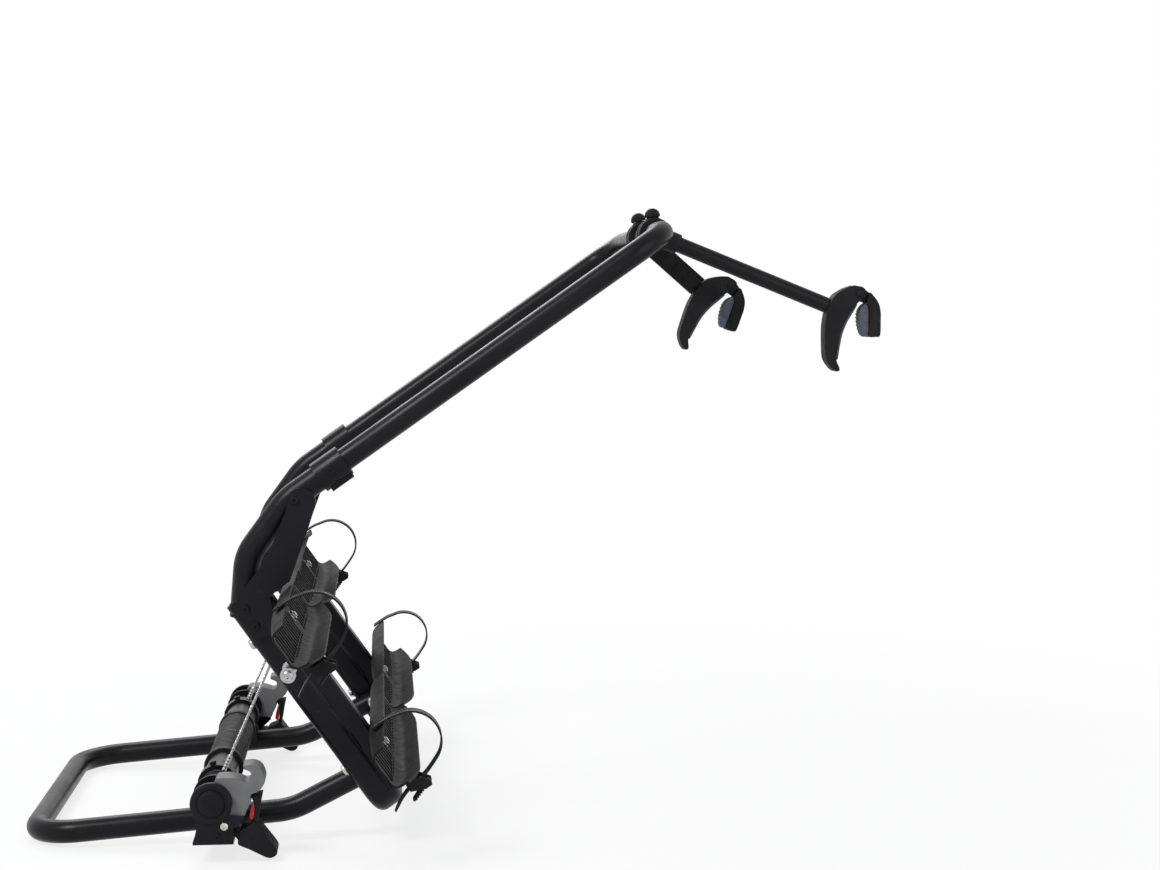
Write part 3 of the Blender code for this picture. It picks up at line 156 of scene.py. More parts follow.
class Look:
    """A node material built up round one shader."""

    def __init__(self, name, metallic=0.0, specular=0.5):
        self.material = bpy.data.materials.new(name)
        self.material.use_nodes = True
        self.tree = self.material.node_tree
        self.shader = self.tree.nodes["Principled BSDF"]
        self.shader.inputs["Metallic"].default_value = metallic
        self.shader.inputs["Specular IOR Level"].default_value = specular
        self.coords = self.tree.nodes.new("ShaderNodeTexCoord")

    def texture(self, kind, values, stretch=(1, 1, 1)):
        place = add_node(self.tree, "Mapping", {"Vector": self.coords.outputs["Object"], "Scale": stretch})
        return add_node(self.tree, kind, {"Vector": place.outputs["Vector"], **values})

    def noise(self, scale, detail=3.0, rough=0.5, stretch=(1, 1, 1)):
        values = {"Scale": scale, "Detail": detail, "Roughness": rough}
        return self.texture("TexNoise", values, stretch).outputs["Fac"]

    def cells(self, scale):
        return self.texture("TexVoronoi", {"Scale": scale}).outputs["Distance"]

    def spread(self, value, low, high, start=0.3, end=0.7):
        limits = {"From Min": start, "From Max": end, "To Min": low, "To Max": high}
        return add_node(self.tree, "MapRange", {"Value": value, **limits}).outputs["Result"]

    def mix(self, value, first, second):
        """Two colours mixed by a value. Each is a tuple or a socket."""
        first, second = ((*c, 1.0) if isinstance(c, tuple) else c for c in (first, second))
        return add_node(self.tree, "Mix", {6: first, 7: second, 0: value}, data_type="RGBA").outputs[2]

    def blotches(self, noise, first, second, start=0.3, end=0.7):
        return self.mix(self.spread(noise, 0, 1, start, end), first, second)

    def finish(self, colour, roughness, *bumps):
        """Colour, roughness, and height layers with their depths in metres, the last one uppermost."""
        self.tree.links.new(colour, self.shader.inputs["Base Color"])
        self.tree.links.new(roughness, self.shader.inputs["Roughness"])
        below = {}
        for height, depth in bumps:
            values = {"Strength": 1.0, "Distance": depth, "Height": height, **below}
            below = {"Normal": add_node(self.tree, "Bump", values).outputs["Normal"]}
        self.tree.links.new(below["Normal"], self.shader.inputs["Normal"])
        return self.material


def powder_coat():
    """Satin black with a breath of violet, orange peel, faint clouding and light scuffs."""
    look = Look("black_powder_coat", specular=0.14)
    base = look.blotches(look.noise(9, 4), (0.0044, 0.0044, 0.0060), (0.0084, 0.0082, 0.0110))
    scuffs = look.spread(look.noise(55, 9, 0.72, (1, 1, 2.2)), 0, 1, 0.61, 0.70)
    return look.finish(look.mix(scuffs, base, (0.019, 0.019, 0.022)),
                       look.spread(look.noise(38, 5), 0.27, 0.37),
                       (look.noise(240, 2), 0.000012), (look.noise(800, 2), 0.000006))


def moulded_plastic():
    """Black moulding with a fine spark-eroded grain and rubbed patches."""
    look = Look("moulded_black_plastic", specular=0.09)
    patches = look.noise(24, 6, 0.6)
    return look.finish(look.blotches(patches, (0.0085, 0.0085, 0.0093), (0.0160, 0.0160, 0.0172), 0.35, 0.68),
                       look.spread(look.noise(70, 5), 0.50, 0.66),
                       (look.cells(1200), 0.00001))


def strap_plastic():
    """Softer black plastic of the straps, drawn along its length."""
    look = Look("strap_black_plastic", specular=0.18)
    streaks = look.noise(60, 5, 0.6, (1, 6, 1))
    return look.finish(look.blotches(streaks, (0.0045, 0.0045, 0.0050), (0.0098, 0.0098, 0.0104)),
                       look.spread(look.noise(90, 4), 0.30, 0.47),
                       (look.noise(700, 3, 0.6, (1, 4, 1)), 0.000012))


def sleeve_rubber():
    """Matt black sleeve of the cross tube."""
    look = Look("matt_black_sleeve", specular=0.13)
    bloom = look.noise(32, 6, 0.65)
    return look.finish(look.blotches(bloom, (0.0052, 0.0052, 0.0058), (0.0115, 0.0115, 0.0125)),
                       look.spread(look.noise(110, 4), 0.42, 0.60),
                       (look.noise(900, 3), 0.00002))


def pad_rubber():
    """Dark grey-blue rubber of the jaw pads, with a dusty bloom."""
    look = Look("grey_blue_rubber", specular=0.25)
    bloom = look.noise(120, 7, 0.7)
    return look.finish(look.blotches(bloom, (0.062, 0.070, 0.088), (0.105, 0.115, 0.138), 0.35, 0.75),
                       look.spread(look.noise(210, 3), 0.66, 0.86),
                       (look.noise(900, 4), 0.00009))


def zinc_plate():
    """Bright zinc with faint yellow clouding, pickled grain and fine scratches."""
    look = Look("zinc_plate", metallic=1.0)
    clouds = look.noise(130, 5, 0.6)
    return look.finish(look.blotches(clouds, (0.44, 0.44, 0.425), (0.62, 0.608, 0.57)),
                       look.spread(look.noise(420, 5), 0.22, 0.40),
                       (look.noise(900, 4), 0.00002), (look.noise(260, 6, 0.7, (1, 14, 1)), 0.000015))


def stainless_steel():
    """Drawn stainless wire and turned studs, with darker grease in streaks."""
    look = Look("drawn_stainless", metallic=1.0)
    streaks = look.noise(190, 6, 0.65, (1, 1, 3))
    return look.finish(look.blotches(streaks, (0.52, 0.52, 0.52), (0.30, 0.30, 0.295), 0.4, 0.75),
                       look.spread(look.noise(500, 4), 0.20, 0.38),
                       (look.noise(1400, 3, 0.5, (1, 6, 1)), 0.000015))


def hook_grey():
    """Grey lacquered steel. Faces turned away from Y, the plate's edges, get a darker colour than the flat
    faces: painted shade.
    """
    look = Look("grey_lacquer", specular=0.35)
    # Painted shade: the colour darkens as a face turns away from Y, so the edge faces carry shade in their
    # colour
    split = add_node(look.tree, "SeparateXYZ", {0: look.coords.outputs["Normal"]})
    flat = add_node(look.tree, "Math", {0: split.outputs["Y"]}, "ABSOLUTE")
    mottle = look.noise(75, 6, 0.6)
    edge = look.blotches(mottle, (0.066, 0.066, 0.069), (0.088, 0.088, 0.091))
    side = look.blotches(mottle, (0.128, 0.128, 0.131), (0.155, 0.155, 0.157))
    return look.finish(look.blotches(flat.outputs[0], edge, side, 0.45, 0.80),
                       look.spread(look.noise(140, 4), 0.40, 0.56),
                       (look.noise(420, 3), 0.00002), (look.noise(1300, 2), 0.00001))


def red_plastic():
    """Clear strong red of the lock markers, slightly uneven in depth."""
    look = Look("signal_red_plastic")
    return look.finish(look.blotches(look.noise(150, 4), (0.46, 0.003, 0.018), (0.58, 0.008, 0.028)),
                       look.spread(look.noise(240, 4), 0.28, 0.42),
                       (look.noise(800, 3), 0.00004))


COAT = powder_coat()
PLASTIC = moulded_plastic()
STRAP = strap_plastic()
SLEEVE = sleeve_rubber()
RUBBER = pad_rubber()
ZINC = zinc_plate()
STEEL = stainless_steel()
GREY = hook_grey()
RED = red_plastic()


# Shapes

class Shape:
    """Shells that together make one piece, each moved by the shape's matrix."""

    def __init__(self, matrix=None):
        self.matrix = matrix or Matrix.Identity(4)
        self.bm = bmesh.new()

    def add(self, verts, faces):
        made = [self.bm.verts.new(self.matrix @ Vector(v)) for v in verts]
        new = [self.bm.faces.new([made[i] for i in face]) for face in faces]
        bmesh.ops.recalc_face_normals(self.bm, faces=new)

    def rings(self, rings, loop=False):
        """A shell through rings of equal count, capped unless it closes on itself."""
        n = len(rings[0])
        count = len(rings)
        faces = []
        for i in range(count if loop else count - 1):
            a, b = i * n, (i + 1) % count * n
            faces += [(a + j, a + (j + 1) % n, b + (j + 1) % n, b + j) for j in range(n)]
        if not loop:
            faces += [tuple(range(n))[::-1], tuple(range((count - 1) * n, count * n))]
        self.add([p for ring in rings for p in ring], faces)

    def slab(self, outline, low, high, edge, segments=3, across="Y"):
        """An outline in X and Z drawn out along Y, or in Y and Z along X, with rounded edges."""
        bm = bmesh.new()
        if across == "Y":
            start, move = [(u, low, w) for u, w in outline], (0, high - low, 0)
        else:
            start, move = [(low, u, w) for u, w in outline], (high - low, 0, 0)
        face = bm.faces.new([bm.verts.new(p) for p in start])
        result = bmesh.ops.extrude_face_region(bm, geom=[face])
        raised = [g for g in result["geom"] if isinstance(g, bmesh.types.BMVert)]
        bmesh.ops.translate(bm, verts=raised, vec=move)
        count = len(outline)
        rims = [e for e in bm.edges if any(len(f.verts) == count for f in e.link_faces)]
        bmesh.ops.recalc_face_normals(bm, faces=bm.faces)
        bmesh.ops.bevel(bm, geom=rims, offset=edge, segments=segments, profile=0.5, affect="EDGES",
                        clamp_overlap=True)
        bm.verts.index_update()
        self.add([v.co.copy() for v in bm.verts], [[v.index for v in f.verts] for f in bm.faces])
        bm.free()

    def piece(self, name, body, material, nodes=(), sharp=34):
        mesh = bpy.data.meshes.new(name)
        self.bm.to_mesh(mesh)
        self.bm.free()
        obj = bpy.data.objects.new(name, mesh)
        bpy.context.scene.collection.objects.link(obj)
        mesh.materials.append(material)
        mesh.shade_smooth()
        mesh.set_sharp_from_angle(angle=math.radians(sharp))
        weighted = obj.modifiers.new("even_normals", "WEIGHTED_NORMAL")
        weighted.keep_sharp = True
        if body:
            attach(obj, body)
        if nodes:
            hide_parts(*nodes)
        return obj


def mm(*points):
    """Outline points or profile steps in millimetres. A step may end with its kind of section."""
    return [tuple(v if isinstance(v, str) else v / 1000 for v in point) for point in points]


def moved(points, right, up):
    """Outline points or profile steps moved in their plane."""
    return [(u + right, w + up, *kind) for u, w, *kind in points]


def shares(radius, height, *steps):
    """Profile steps as shares of a radius and as millimetres above a height."""
    return [(radius * r, height + z / 1000, *kind) for r, z, *kind in steps]


def both_ways(half):
    """A lathe profile that is the same to both sides, from its outer half."""
    return half[::-1] + [(r, -y) for r, y in half]


def box(left, low, right, high):
    return [(left, low), (right, low), (right, high), (left, high)]


def angles(count):
    return [2 * math.pi * k / count for k in range(count)]


def rounded(points, radius, steps, closed=False):
    """The points with each inner corner turned into an arc."""
    corners = [Vector(p).to_3d() for p in points]
    radii = radius if isinstance(radius, list) else [radius] * len(corners)
    result = []
    for i, corner in enumerate(corners):
        if radii[i] <= 0 or (not closed and i in (0, len(corners) - 1)):
            result.append(corner)
            continue
        before = (corners[i - 1] - corner).normalized()
        after = (corners[(i + 1) % len(corners)] - corner).normalized()
        half = before.angle(after) / 2
        start = corner + before * radii[i] / math.tan(half)
        centre = corner + (before + after).normalized() * radii[i] / math.sin(half)
        axis = before.cross(after)
        for k in range(steps + 1):
            turn = Matrix.Rotation(-(math.pi - 2 * half) * k / steps, 3, axis)
            result.append(centre + turn @ (start - centre))
    return result


def smooth(points, steps, closed=True):
    """A flat closed outline, or an open line, drawn as a curve through its points."""
    result = []
    n = len(points)
    for i in range(n if closed else n - 1):
        around = [(i + k) % n if closed else min(max(i + k, 0), n - 1) for k in (-1, 0, 1, 2)]
        a, b, c, d = (Vector(points[k]) for k in around)
        for k in range(steps):
            t = k / steps
            result.append(tuple(0.5 * (2 * b + (c - a) * t + (2 * a - 5 * b + 4 * c - d) * t * t
                                       + (3 * b - a - 3 * c + d) * t ** 3)))
    if not closed:
        result.append(tuple(points[-1]))
    return result


def arc(centre, radius, start, end, steps):
    turns = [math.radians(start + (end - start) * k / steps) for k in range(steps + 1)]
    return [(centre[0] + radius * math.cos(a), centre[1] + radius * math.sin(a)) for a in turns]


def evenly(points, step):
    """Places a step apart along a line."""
    places = [points[0]]
    gone = 0.0
    for a, b in zip(points, points[1:]):
        span = (b - a).length
        while gone + span >= step:
            need = step - gone
            a = a.lerp(b, need / span)
            span -= need
            gone = 0.0
            places.append(a.copy())
        gone += span
    return places


def axes_along(path, loop=False, up=Vector((0, 0, 1))):
    """Place, side, top and direction at each point of a path."""
    points = [Vector(p) for p in path]
    n = len(points)
    result = []
    side = None
    for i, p in enumerate(points):
        before = points[i - 1] if (i or loop) else p
        after = points[(i + 1) % n] if (i < n - 1 or loop) else p
        way = (after - before).normalized()
        if side is None:
            hint = up if abs(way.dot(up)) < 0.95 else Vector((1, 0, 0))
            side = way.cross(hint)
        side = (side - way * side.dot(way)).normalized()
        result.append((p, side, side.cross(way), way))
    return result


def circle_points(p, side, top, radius, sides):
    return [p + side * radius * math.cos(a) + top * radius * math.sin(a) for a in angles(sides)]


def spaced(path, step=0.014):
    """The path with points added so that none lie further apart than the step."""
    points = [Vector(p) for p in path]
    result = []
    for a, b in zip(points, points[1:]):
        count = max(1, math.ceil((b - a).length / step))
        result += [a.lerp(b, k / count) for k in range(count)]
    return result + [points[-1]]


def rimmed(path):
    """Place, side and top along a tube, and how much smaller its rounded ends make it there."""
    first, *between, last = axes_along(spaced(path))
    p, side, top, way = first
    yield p, side, top, RIM
    yield p + way * RIM, side, top, 0.0
    for p, side, top, way in between:
        yield p, side, top, 0.0
    p, side, top, way = last
    yield p - way * RIM, side, top, 0.0
    yield p, side, top, RIM


def add_pipe(shape, path, radius, wall, sides):
    """A tube with open ends whose rims are slightly rounded."""
    outer, inner = [], []
    for p, side, top, less in rimmed(path):
        outer.append(circle_points(p, side, top, radius - less, sides))
        inner.append(circle_points(p, side, top, radius - wall + less, sides))
    shape.rings(outer + inner[::-1], loop=True)


def add_rod(shape, path, radius, sides):
    shape.rings([circle_points(p, s, t, radius, sides) for p, s, t, _ in axes_along(path)])


def add_bead(shape, path, radius, loop=True, pitch=0.0028):
    """A weld bead of overlapping ripples along a path."""
    dense = []
    points = [Vector(p) for p in path]
    ends = points[1:] + points[:1] if loop else points[1:]
    for a, b in zip(points, ends):
        count = max(1, round((b - a).length / (pitch / 4)))
        dense += [a.lerp(b, k / count) for k in range(count)]
    if not loop:
        dense.append(points[-1])
    rings = []
    for i, (p, side, top, _) in enumerate(axes_along(dense, loop, Vector((0, 1, 0)))):
        swell = 1 + 0.16 * abs(math.sin(math.pi * i / 4))
        end = 1.0 if loop else min(1.0, 0.35 + 0.3 * min(i, len(dense) - 1 - i))
        rings.append(circle_points(p, side, top, radius * swell * end, 8))
    shape.rings(rings, loop=loop)


def add_turned(shape, profile, place, direction, sides=36, ring=False):
    """A lathe shape. Each step is a radius, a height and, if not round, "hex" or "flutes"."""
    turn = Vector((0, 0, 1)).rotation_difference(Vector(direction)).to_matrix().to_4x4()
    matrix = Matrix.Translation(Vector(place)) @ turn
    rings = []
    for radius, height, *kind in profile:
        ring_points = []
        for a in angles(sides):
            r = max(radius, 1e-5)
            if kind == ["hex"]:
                r /= math.cos(a % (math.pi / 3) - math.pi / 6)
            elif kind == ["flutes"]:
                r *= 1 - 0.14 * (0.5 + 0.5 * math.cos(9 * a)) ** 2
            ring_points.append(matrix @ Vector((r * math.cos(a), r * math.sin(a), height)))
        rings.append(ring_points)
    shape.rings(rings, loop=ring)


def add_socket_bolt(shape, seat, direction, head_r, head_high, shank_r, shank_long, washer=0.0):
    """Button-headed bolt with a hexagon socket. Heights count from the seat."""
    key = head_r * 0.42
    profile = [(0, head_high * 0.35), (key * 0.9, head_high * 0.35), (key, head_high * 0.42, "hex"),
               (key, head_high * 0.96, "hex"), (key * 1.22, head_high), (head_r * 0.66, head_high),
               (head_r * 0.86, head_high * 0.86), (head_r * 0.97, head_high * 0.58),
               (head_r, head_high * 0.28), (head_r, 0.0002 + washer), (head_r * 0.96, washer)]
    if washer:
        profile += [(head_r * 1.16, washer), (head_r * 1.20, washer * 0.8), (head_r * 1.20, 0.0002),
                    (head_r * 1.16, 0.0)]
    profile += [(shank_r, 0.0), (shank_r, -shank_long), (0, -shank_long)]
    add_turned(shape, profile, seat, direction)


# CAD nodes that keep their shape get softened edges and a finish

def soften(node, material, width):
    obj = NODES[node]
    weld = obj.modifiers.new("weld", "WELD")
    weld.merge_threshold = 0.00002
    flat = obj.modifiers.new("flat", "DECIMATE")
    flat.decimate_type = "DISSOLVE"
    flat.angle_limit = math.radians(0.8)
    bevel = obj.modifiers.new("bevel", "BEVEL")
    bevel.width = width
    bevel.segments = 3
    bevel.limit_method = "ANGLE"
    bevel.angle_limit = math.radians(32)
    weighted = obj.modifiers.new("even_normals", "WEIGHTED_NORMAL")
    weighted.keep_sharp = False
    for slot in obj.material_slots:
        slot.material = material
    if not obj.material_slots:
        obj.data.materials.append(material)


# Base frame

def base_path():
    end = HINGE + (HINGE - BASE_RISE).normalized() * 0.010
    rear_x, rear_z = BASE_REAR
    near = [(end.x, -BASE_Y, end.z), (BASE_RISE.x, -BASE_Y, BASE_RISE.z), (rear_x, -BASE_Y, rear_z)]
    far = [(x, -y, z) for x, y, z in near[::-1]]
    return rounded(near + far, [0, 0.10, 0.06, 0.06, 0.10, 0], 16)


def build_base():
    tube = Shape()
    add_pipe(tube, base_path(), BASE_R, BASE_WALL, 44)
    flange = BASE_Y + BASE_R - 0.001
    eye = [(EYE_BORE, EYE_INNER), (EYE_R, EYE_INNER), (EYE_R, flange), (FLANGE_R - RIM, flange),
           (FLANGE_R, flange + RIM), (FLANGE_R, RAIL_INNER - RIM), (FLANGE_R - RIM, RAIL_INNER),
           (EYE_BORE, RAIL_INNER)]
    for _, side in SIDES:
        add_turned(tube, eye, (HINGE.x, 0, HINGE.z), (0, side, 0), ring=True)
    tube.piece("base_tube", "base", COAT, ["base_frame"])

    rise = (HINGE - BASE_RISE).normalized()
    normal = Vector((-rise.z, 0, rise.x))
    for name, side in SIDES:
        loop = []
        for a in angles(48):
            spoke = Vector((math.cos(a), 0, math.sin(a))) * 0.0108
            out = BASE_Y + math.sqrt(BASE_R ** 2 - spoke.dot(normal) ** 2)
            loop.append(HINGE + spoke + Vector((0, side * out, 0)))
        weld = Shape()
        add_bead(weld, loop, 0.0013)
        weld.piece(f"{name}_eye_weld", "base", COAT)

    bar = Shape()
    end = INNER_CHEEK_Y - GAP
    neck = FRAME_FACE - FRAME_WIDE - 0.0025
    half = [(CROSS_R, 0.1345), (CROSS_R, neck - 0.0006), (0.0209, neck), (0.019, neck + 0.0019),
            (0.019, end - 0.0006), (0.0184, end)]
    add_turned(bar, both_ways(half) + [(0.0155, -end), (0.0155, end)], CROSS, (0, 1, 0), 48, ring=True)
    bar.piece("cross_bar", "base", COAT, ["cross_tube"])
    sleeve = Shape()
    half = []
    for k in range(24):
        half += moved(mm((24.5, 0), (24.5, 3.1), (24, 3.6), (24, 4.4)), 0, 0.0025 + k * 0.0049)
    half += mm((24.5, 120), (25.9, 120.2), (26.5, 121.2), (26.5, 132.6), (25.8, 133.6), (22, 134))
    add_turned(sleeve, both_ways(half) + mm((21.4, -134), (21.4, 134)), CROSS, (0, 1, 0), 48, ring=True)
    sleeve.piece("cross_sleeve", "base", SLEEVE)


def build_locks():
    seat = BRACKET_FACE + GAP
    cap = shares(COVER_R, seat, (0, 6.2), (0.50, 6.2), (0.565, 5.9), (0.605, 5), (0.615, 3.4), (0.655, 2.6),
                 (0.70, 3.1), (0.76, 4), (0.90, 3.8), (0.96, 3), (1, 1.6), (1, 0), (0, 0))
    for name, side in SIDES:
        cover = Shape()
        add_turned(cover, cap, (CROSS.x, 0, CROSS.z), (0, side, 0), 60)
        cover.piece(f"{name}_cover", "base", PLASTIC, [f"{name}_lock_cover"])

        pivot = Shape()
        add_socket_bolt(pivot, (HOOK[0], side * seat, HOOK[1]), (0, side, 0), 0.0054, 0.0045, 0.004,
                        seat - INNER_CHEEK_Y)
        pivot.piece(f"{name}_pivot_bolt", "base", ZINC, [f"{name}_hook_bolt"])

        catch = Shape()
        catch.slab(hook_outline(), side * HOOK_IN, side * HOOK_OUT, 0.0007)
        catch.piece(f"{name}_catch_hook", f"{name}_catch", GREY, [f"{name}_hook"])

        build_pedal(name, side)
        soften(f"{name}_lock_bracket", COAT, 0.0006)
        soften(f"{name}_cross_clamp", COAT, 0.0005)


def hook_point(radius, angle):
    a = math.radians(angle)
    return (HOOK[0] + radius * math.cos(a), HOOK[1] + radius * math.sin(a))


def hook_outline():
    """Lip round the pivot, throat, beak, notched right flank, hub and left flank."""
    lip_r, beak_r, turn = 0.0595, 0.074, 66.4
    lip = arc(HOOK, lip_r, 99, turn + 2, 24)
    bottom = arc(hook_point((lip_r + beak_r) / 2, turn), (beak_r - lip_r) / 2, turn - 180, turn, 18)
    beak = [hook_point(beak_r, 71.2), hook_point(beak_r + 0.004, 72.4)]
    crown = mm((32.5, 106.8), (39, 107.2), (46.3, 105.4), (51.2, 101.5), (54.8, 94.2), (56, 86.6),
               (53.5, 80.3), (49.7, 75.3), (45.5, 72.2), (39.7, 70.5))
    notch = mm((37.2, 66.7), (38.4, 61.6), (35.9, 55.3), (32.1, 47.8), (30.2, 43.1), (19, 34.5))
    hub = arc(HOOK, 0.0095, -10, -170, 14)
    flank = mm((-5.5, 42), (-7.8, 60), (-7.5, 80), (-6.8, 87))
    return lip + bottom + beak + smooth(crown, 4, closed=False) + smooth(notch, 3, closed=False) + hub + flank


def build_pedal(name, side):
    """Foot pedal with grip ribs, the arm under the hook and the pawl above, and the red marker."""
    arm = arc(PEDAL, 0.0054, 80, 290, 14)
    arm += mm((10, 15.4), (18, 17.2), (24, 9), (30, 20), (20.5, 22.5), (12, 20.8))
    fin = mm((21.5, 8.5), (27, 4), (35.5, 0.4), (47, -5.6), (57.9, -10.8), (64.1, -11), (69.5, -7.5),
             (70.5, -2.4), (66.8, 4.1), (59, 14.3), (51.4, 24.4), (45, 33), (42, 34.5), (36, 30), (25, 24.5))
    pawl = mm((40.5, 31), (45.5, 31), (48, 45), (49.7, 55.8), (52.3, 68.5), (42, 67.2), (38.8, 65.5),
              (39.8, 62), (42.5, 59), (43, 48))
    inner, outer = INNER_CHEEK_Y + CHEEK, OUTER_CHEEK_Y
    pedal = Shape()
    pedal.slab(arm, side * HOOK_IN, side * HOOK_OUT, 0.0008)
    pedal.slab(smooth(fin, 3), side * inner, side * outer, 0.0013)
    pedal.slab(pawl, side * (HOOK_IN + 0.004), side * (HOOK_OUT - 0.004), 0.0008)
    top_start, top_end = Vector((0.0668, 0.0041)), Vector((0.047, 0.0303))
    way = (top_end - top_start).normalized()
    out = Vector((way.y, -way.x))
    for k in range(6):
        middle = top_start + way * (0.0025 + 0.0046 * k)
        rib = [middle + way * u + out * w for u, w in mm((-1.2, -1.2), (-0.7, 0.7), (0.7, 0.7), (1.2, -1.2))]
        pedal.slab(rib, side * (inner + 0.003), side * (outer - 0.003), 0.0003, 2)
    pedal.piece(f"{name}_foot_pedal", f"{name}_release", PLASTIC, [f"{name}_pedal"])

    flag = Shape()
    marker = mm((36, 38.5), (40, 37.2), (42.2, 45), (42.4, 56), (39.5, 56.3), (36.8, 47))
    flag.slab(smooth(marker, 3), side * (HOOK_IN + 0.006), side * (HOOK_OUT - 0.006), 0.0007)
    flag.piece(f"{name}_flag", f"{name}_release", RED, [f"{name}_marker"])


def build_cables():
    """Twisted wire ropes with swaged ends. Each runs straight from the base's cross bar to the platform's
    stay.
    """
    swage = mm((0, 0), (3, 0), (3.3, 0.5))
    for k in range(4):
        swage += moved(mm((3.3, 0), (2.8, 0.8), (2.8, 2.2), (3.3, 3)), 0, 0.003 + 0.0042 * k)
    swage += mm((3.3, 20.5), (2.6, 22), (0, 22))
    for name, side in SIDES:
        y = side * (BASE_Y + 0.008)
        low_axis = Vector((CROSS.x, y, CROSS.z))
        high_axis = LEVEL @ Vector((STAY_X, y, STAY_Z))
        way = (high_axis - low_axis).normalized()
        low = low_axis + way * (CROSS_R + GAP)
        high = high_axis - way * (STAY_R + GAP)
        across = way.cross(Vector((0, 1, 0))).normalized()
        up = across.cross(way)
        rope = Shape()
        add_rod(rope, [low.lerp(high, k / 60) for k in range(61)], 0.0007, 8)
        turns = (high - low).length / ROPE_LAY
        for strand in range(6):
            points = []
            for k in range(241):
                a = 2 * math.pi * (strand / 6 + turns * k / 240)
                points.append(low.lerp(high, k / 240) + (across * math.cos(a) + up * math.sin(a)) * 0.00115)
            add_rod(rope, points, 0.00064, 7)
        for start, direction in ((high, -way), (low, way)):
            add_turned(rope, swage, start, direction, 24)
        obj = rope.piece(f"{name}_wire_rope", None, STEEL, [f"{name}_check_cable"])
        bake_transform(obj)


# Platform

def oval_ring(p, side, top, inset):
    """The rail's section, smaller by an inset on each side."""
    u, w = FRAME_WIDE / 2 - inset, FRAME_HIGH / 2 - inset
    outline = rounded(box(-u, -w, u, w), FRAME_ROUND - inset, 8, closed=True)
    return [p + side * q.x + top * q.y for q in outline]


def build_platform():
    rails = Shape(LEVEL)
    y = FRAME_Y
    corners = [(FRAME_REAR_X, -y, FRAME_Z), (FRAME_FRONT_X, -y, FRAME_Z), (FRAME_FRONT_X, y, FRAME_Z),
               (FRAME_REAR_X, y, FRAME_Z)]
    outer, inner = [], []
    for p, side, top, less in rimmed(rounded(corners, [0, 0.022, 0.022, 0], 14)):
        outer.append(oval_ring(p, side, top, less))
        inner.append(oval_ring(p, side, top, FRAME_WALL - less))
    rails.rings(outer + inner[::-1], loop=True)
    rails.piece("platform_rails", "platform", COAT, ["platform_frame"])

    for name, side in SIDES:
        build_track(name, side)
        build_socket(name, side)
        build_gusset(name, side)
        soften(f"{name}_stub_collar", COAT, 0.0005)

    stay = Shape(LEVEL)
    end = RAIL_INNER
    add_pipe(stay, [(STAY_X, y, STAY_Z) for y in (-end, 0, end)], STAY_R, STAY_WALL, 36)
    stay.piece("platform_stay_tube", "platform", COAT, ["platform_stay"])
    rings = Shape(LEVEL)
    bead_r = STAY_R + GAP
    for _, side in SIDES:
        loop = [(STAY_X + bead_r * math.cos(a), side * (end - 0.0008), STAY_Z + bead_r * math.sin(a))
                for a in angles(40)]
        add_bead(rings, loop, 0.0014)
    rings.piece("stay_welds", "platform", COAT)


def build_track(name, side):
    """Channel on a rail that carries the trays, with its weld seams."""
    middle = side * FRAME_Y
    top = FRAME_Z + FRAME_HIGH / 2 + TRACK_HIGH
    foot = top - TRACK_HIGH - FRAME_ROUND * 0.75
    half, wall = 0.0145, 0.0025
    room = half - wall
    outside = rounded([(-half, foot), (-half, top), (half, top), (half, foot)], [0, 0.003, 0.003, 0], 6)
    inside = rounded([(room, foot), (room, top - wall), (-room, top - wall), (-room, foot)],
                     [0, 0.001, 0.001, 0], 3)
    track = Shape(LEVEL)
    outline = [(middle + p.x, p.y) for p in outside + inside]
    track.slab(outline, FRAME_REAR_X + 0.001, 0.030, 0.0004, 2, across="X")
    track.piece(f"{name}_track", "platform", COAT)
    seams = Shape(LEVEL)
    for edge in (-1, 1):
        for k in range(5):
            x = -0.262 + 0.066 * k
            line = [(x + 0.028 * t / 6, middle + edge * (half + 0.0004), foot + 0.0028) for t in range(7)]
            add_bead(seams, line, 0.0015, loop=False)
    seams.piece(f"{name}_track_welds", "platform", COAT)


def build_socket(name, side):
    """Bent tube that takes a leg of the hoop, and its weld round the rail's end."""
    leg = side * LEG_Y
    (low_x, low_z), (bend_x, bend_z) = (-0.262, -0.0155), (-0.3225, 0.035)
    path = rounded([(low_x, leg, low_z), (bend_x, leg, bend_z), (LEG_X, leg, 0.118), (LEG_X, leg, 0.203)],
                   [0, 0.06, 0.10, 0], 16)
    stub = Shape(LEVEL)
    add_pipe(stub, path, SOCKET_R, SOCKET_WALL, 40)
    stub.piece(f"{name}_hoop_socket", "platform", COAT)
    way = Vector((bend_x - low_x, 0, bend_z - low_z)).normalized()
    at = Vector((low_x, leg, low_z)) + way * ((FRAME_REAR_X - 0.0005 - low_x) / way.x)
    reach = FRAME_HIGH / 2 - 0.0005
    loop = []
    for a in angles(60):
        z = at.z + SOCKET_R / abs(way.x) * math.sin(a)
        loop.append((FRAME_REAR_X - 0.0002, leg + 0.0158 * math.cos(a),
                     min(max(z, FRAME_Z - reach), FRAME_Z + reach)))
    ring = Shape(LEVEL)
    add_bead(ring, loop, 0.0016)
    ring.piece(f"{name}_socket_weld", "platform", COAT)


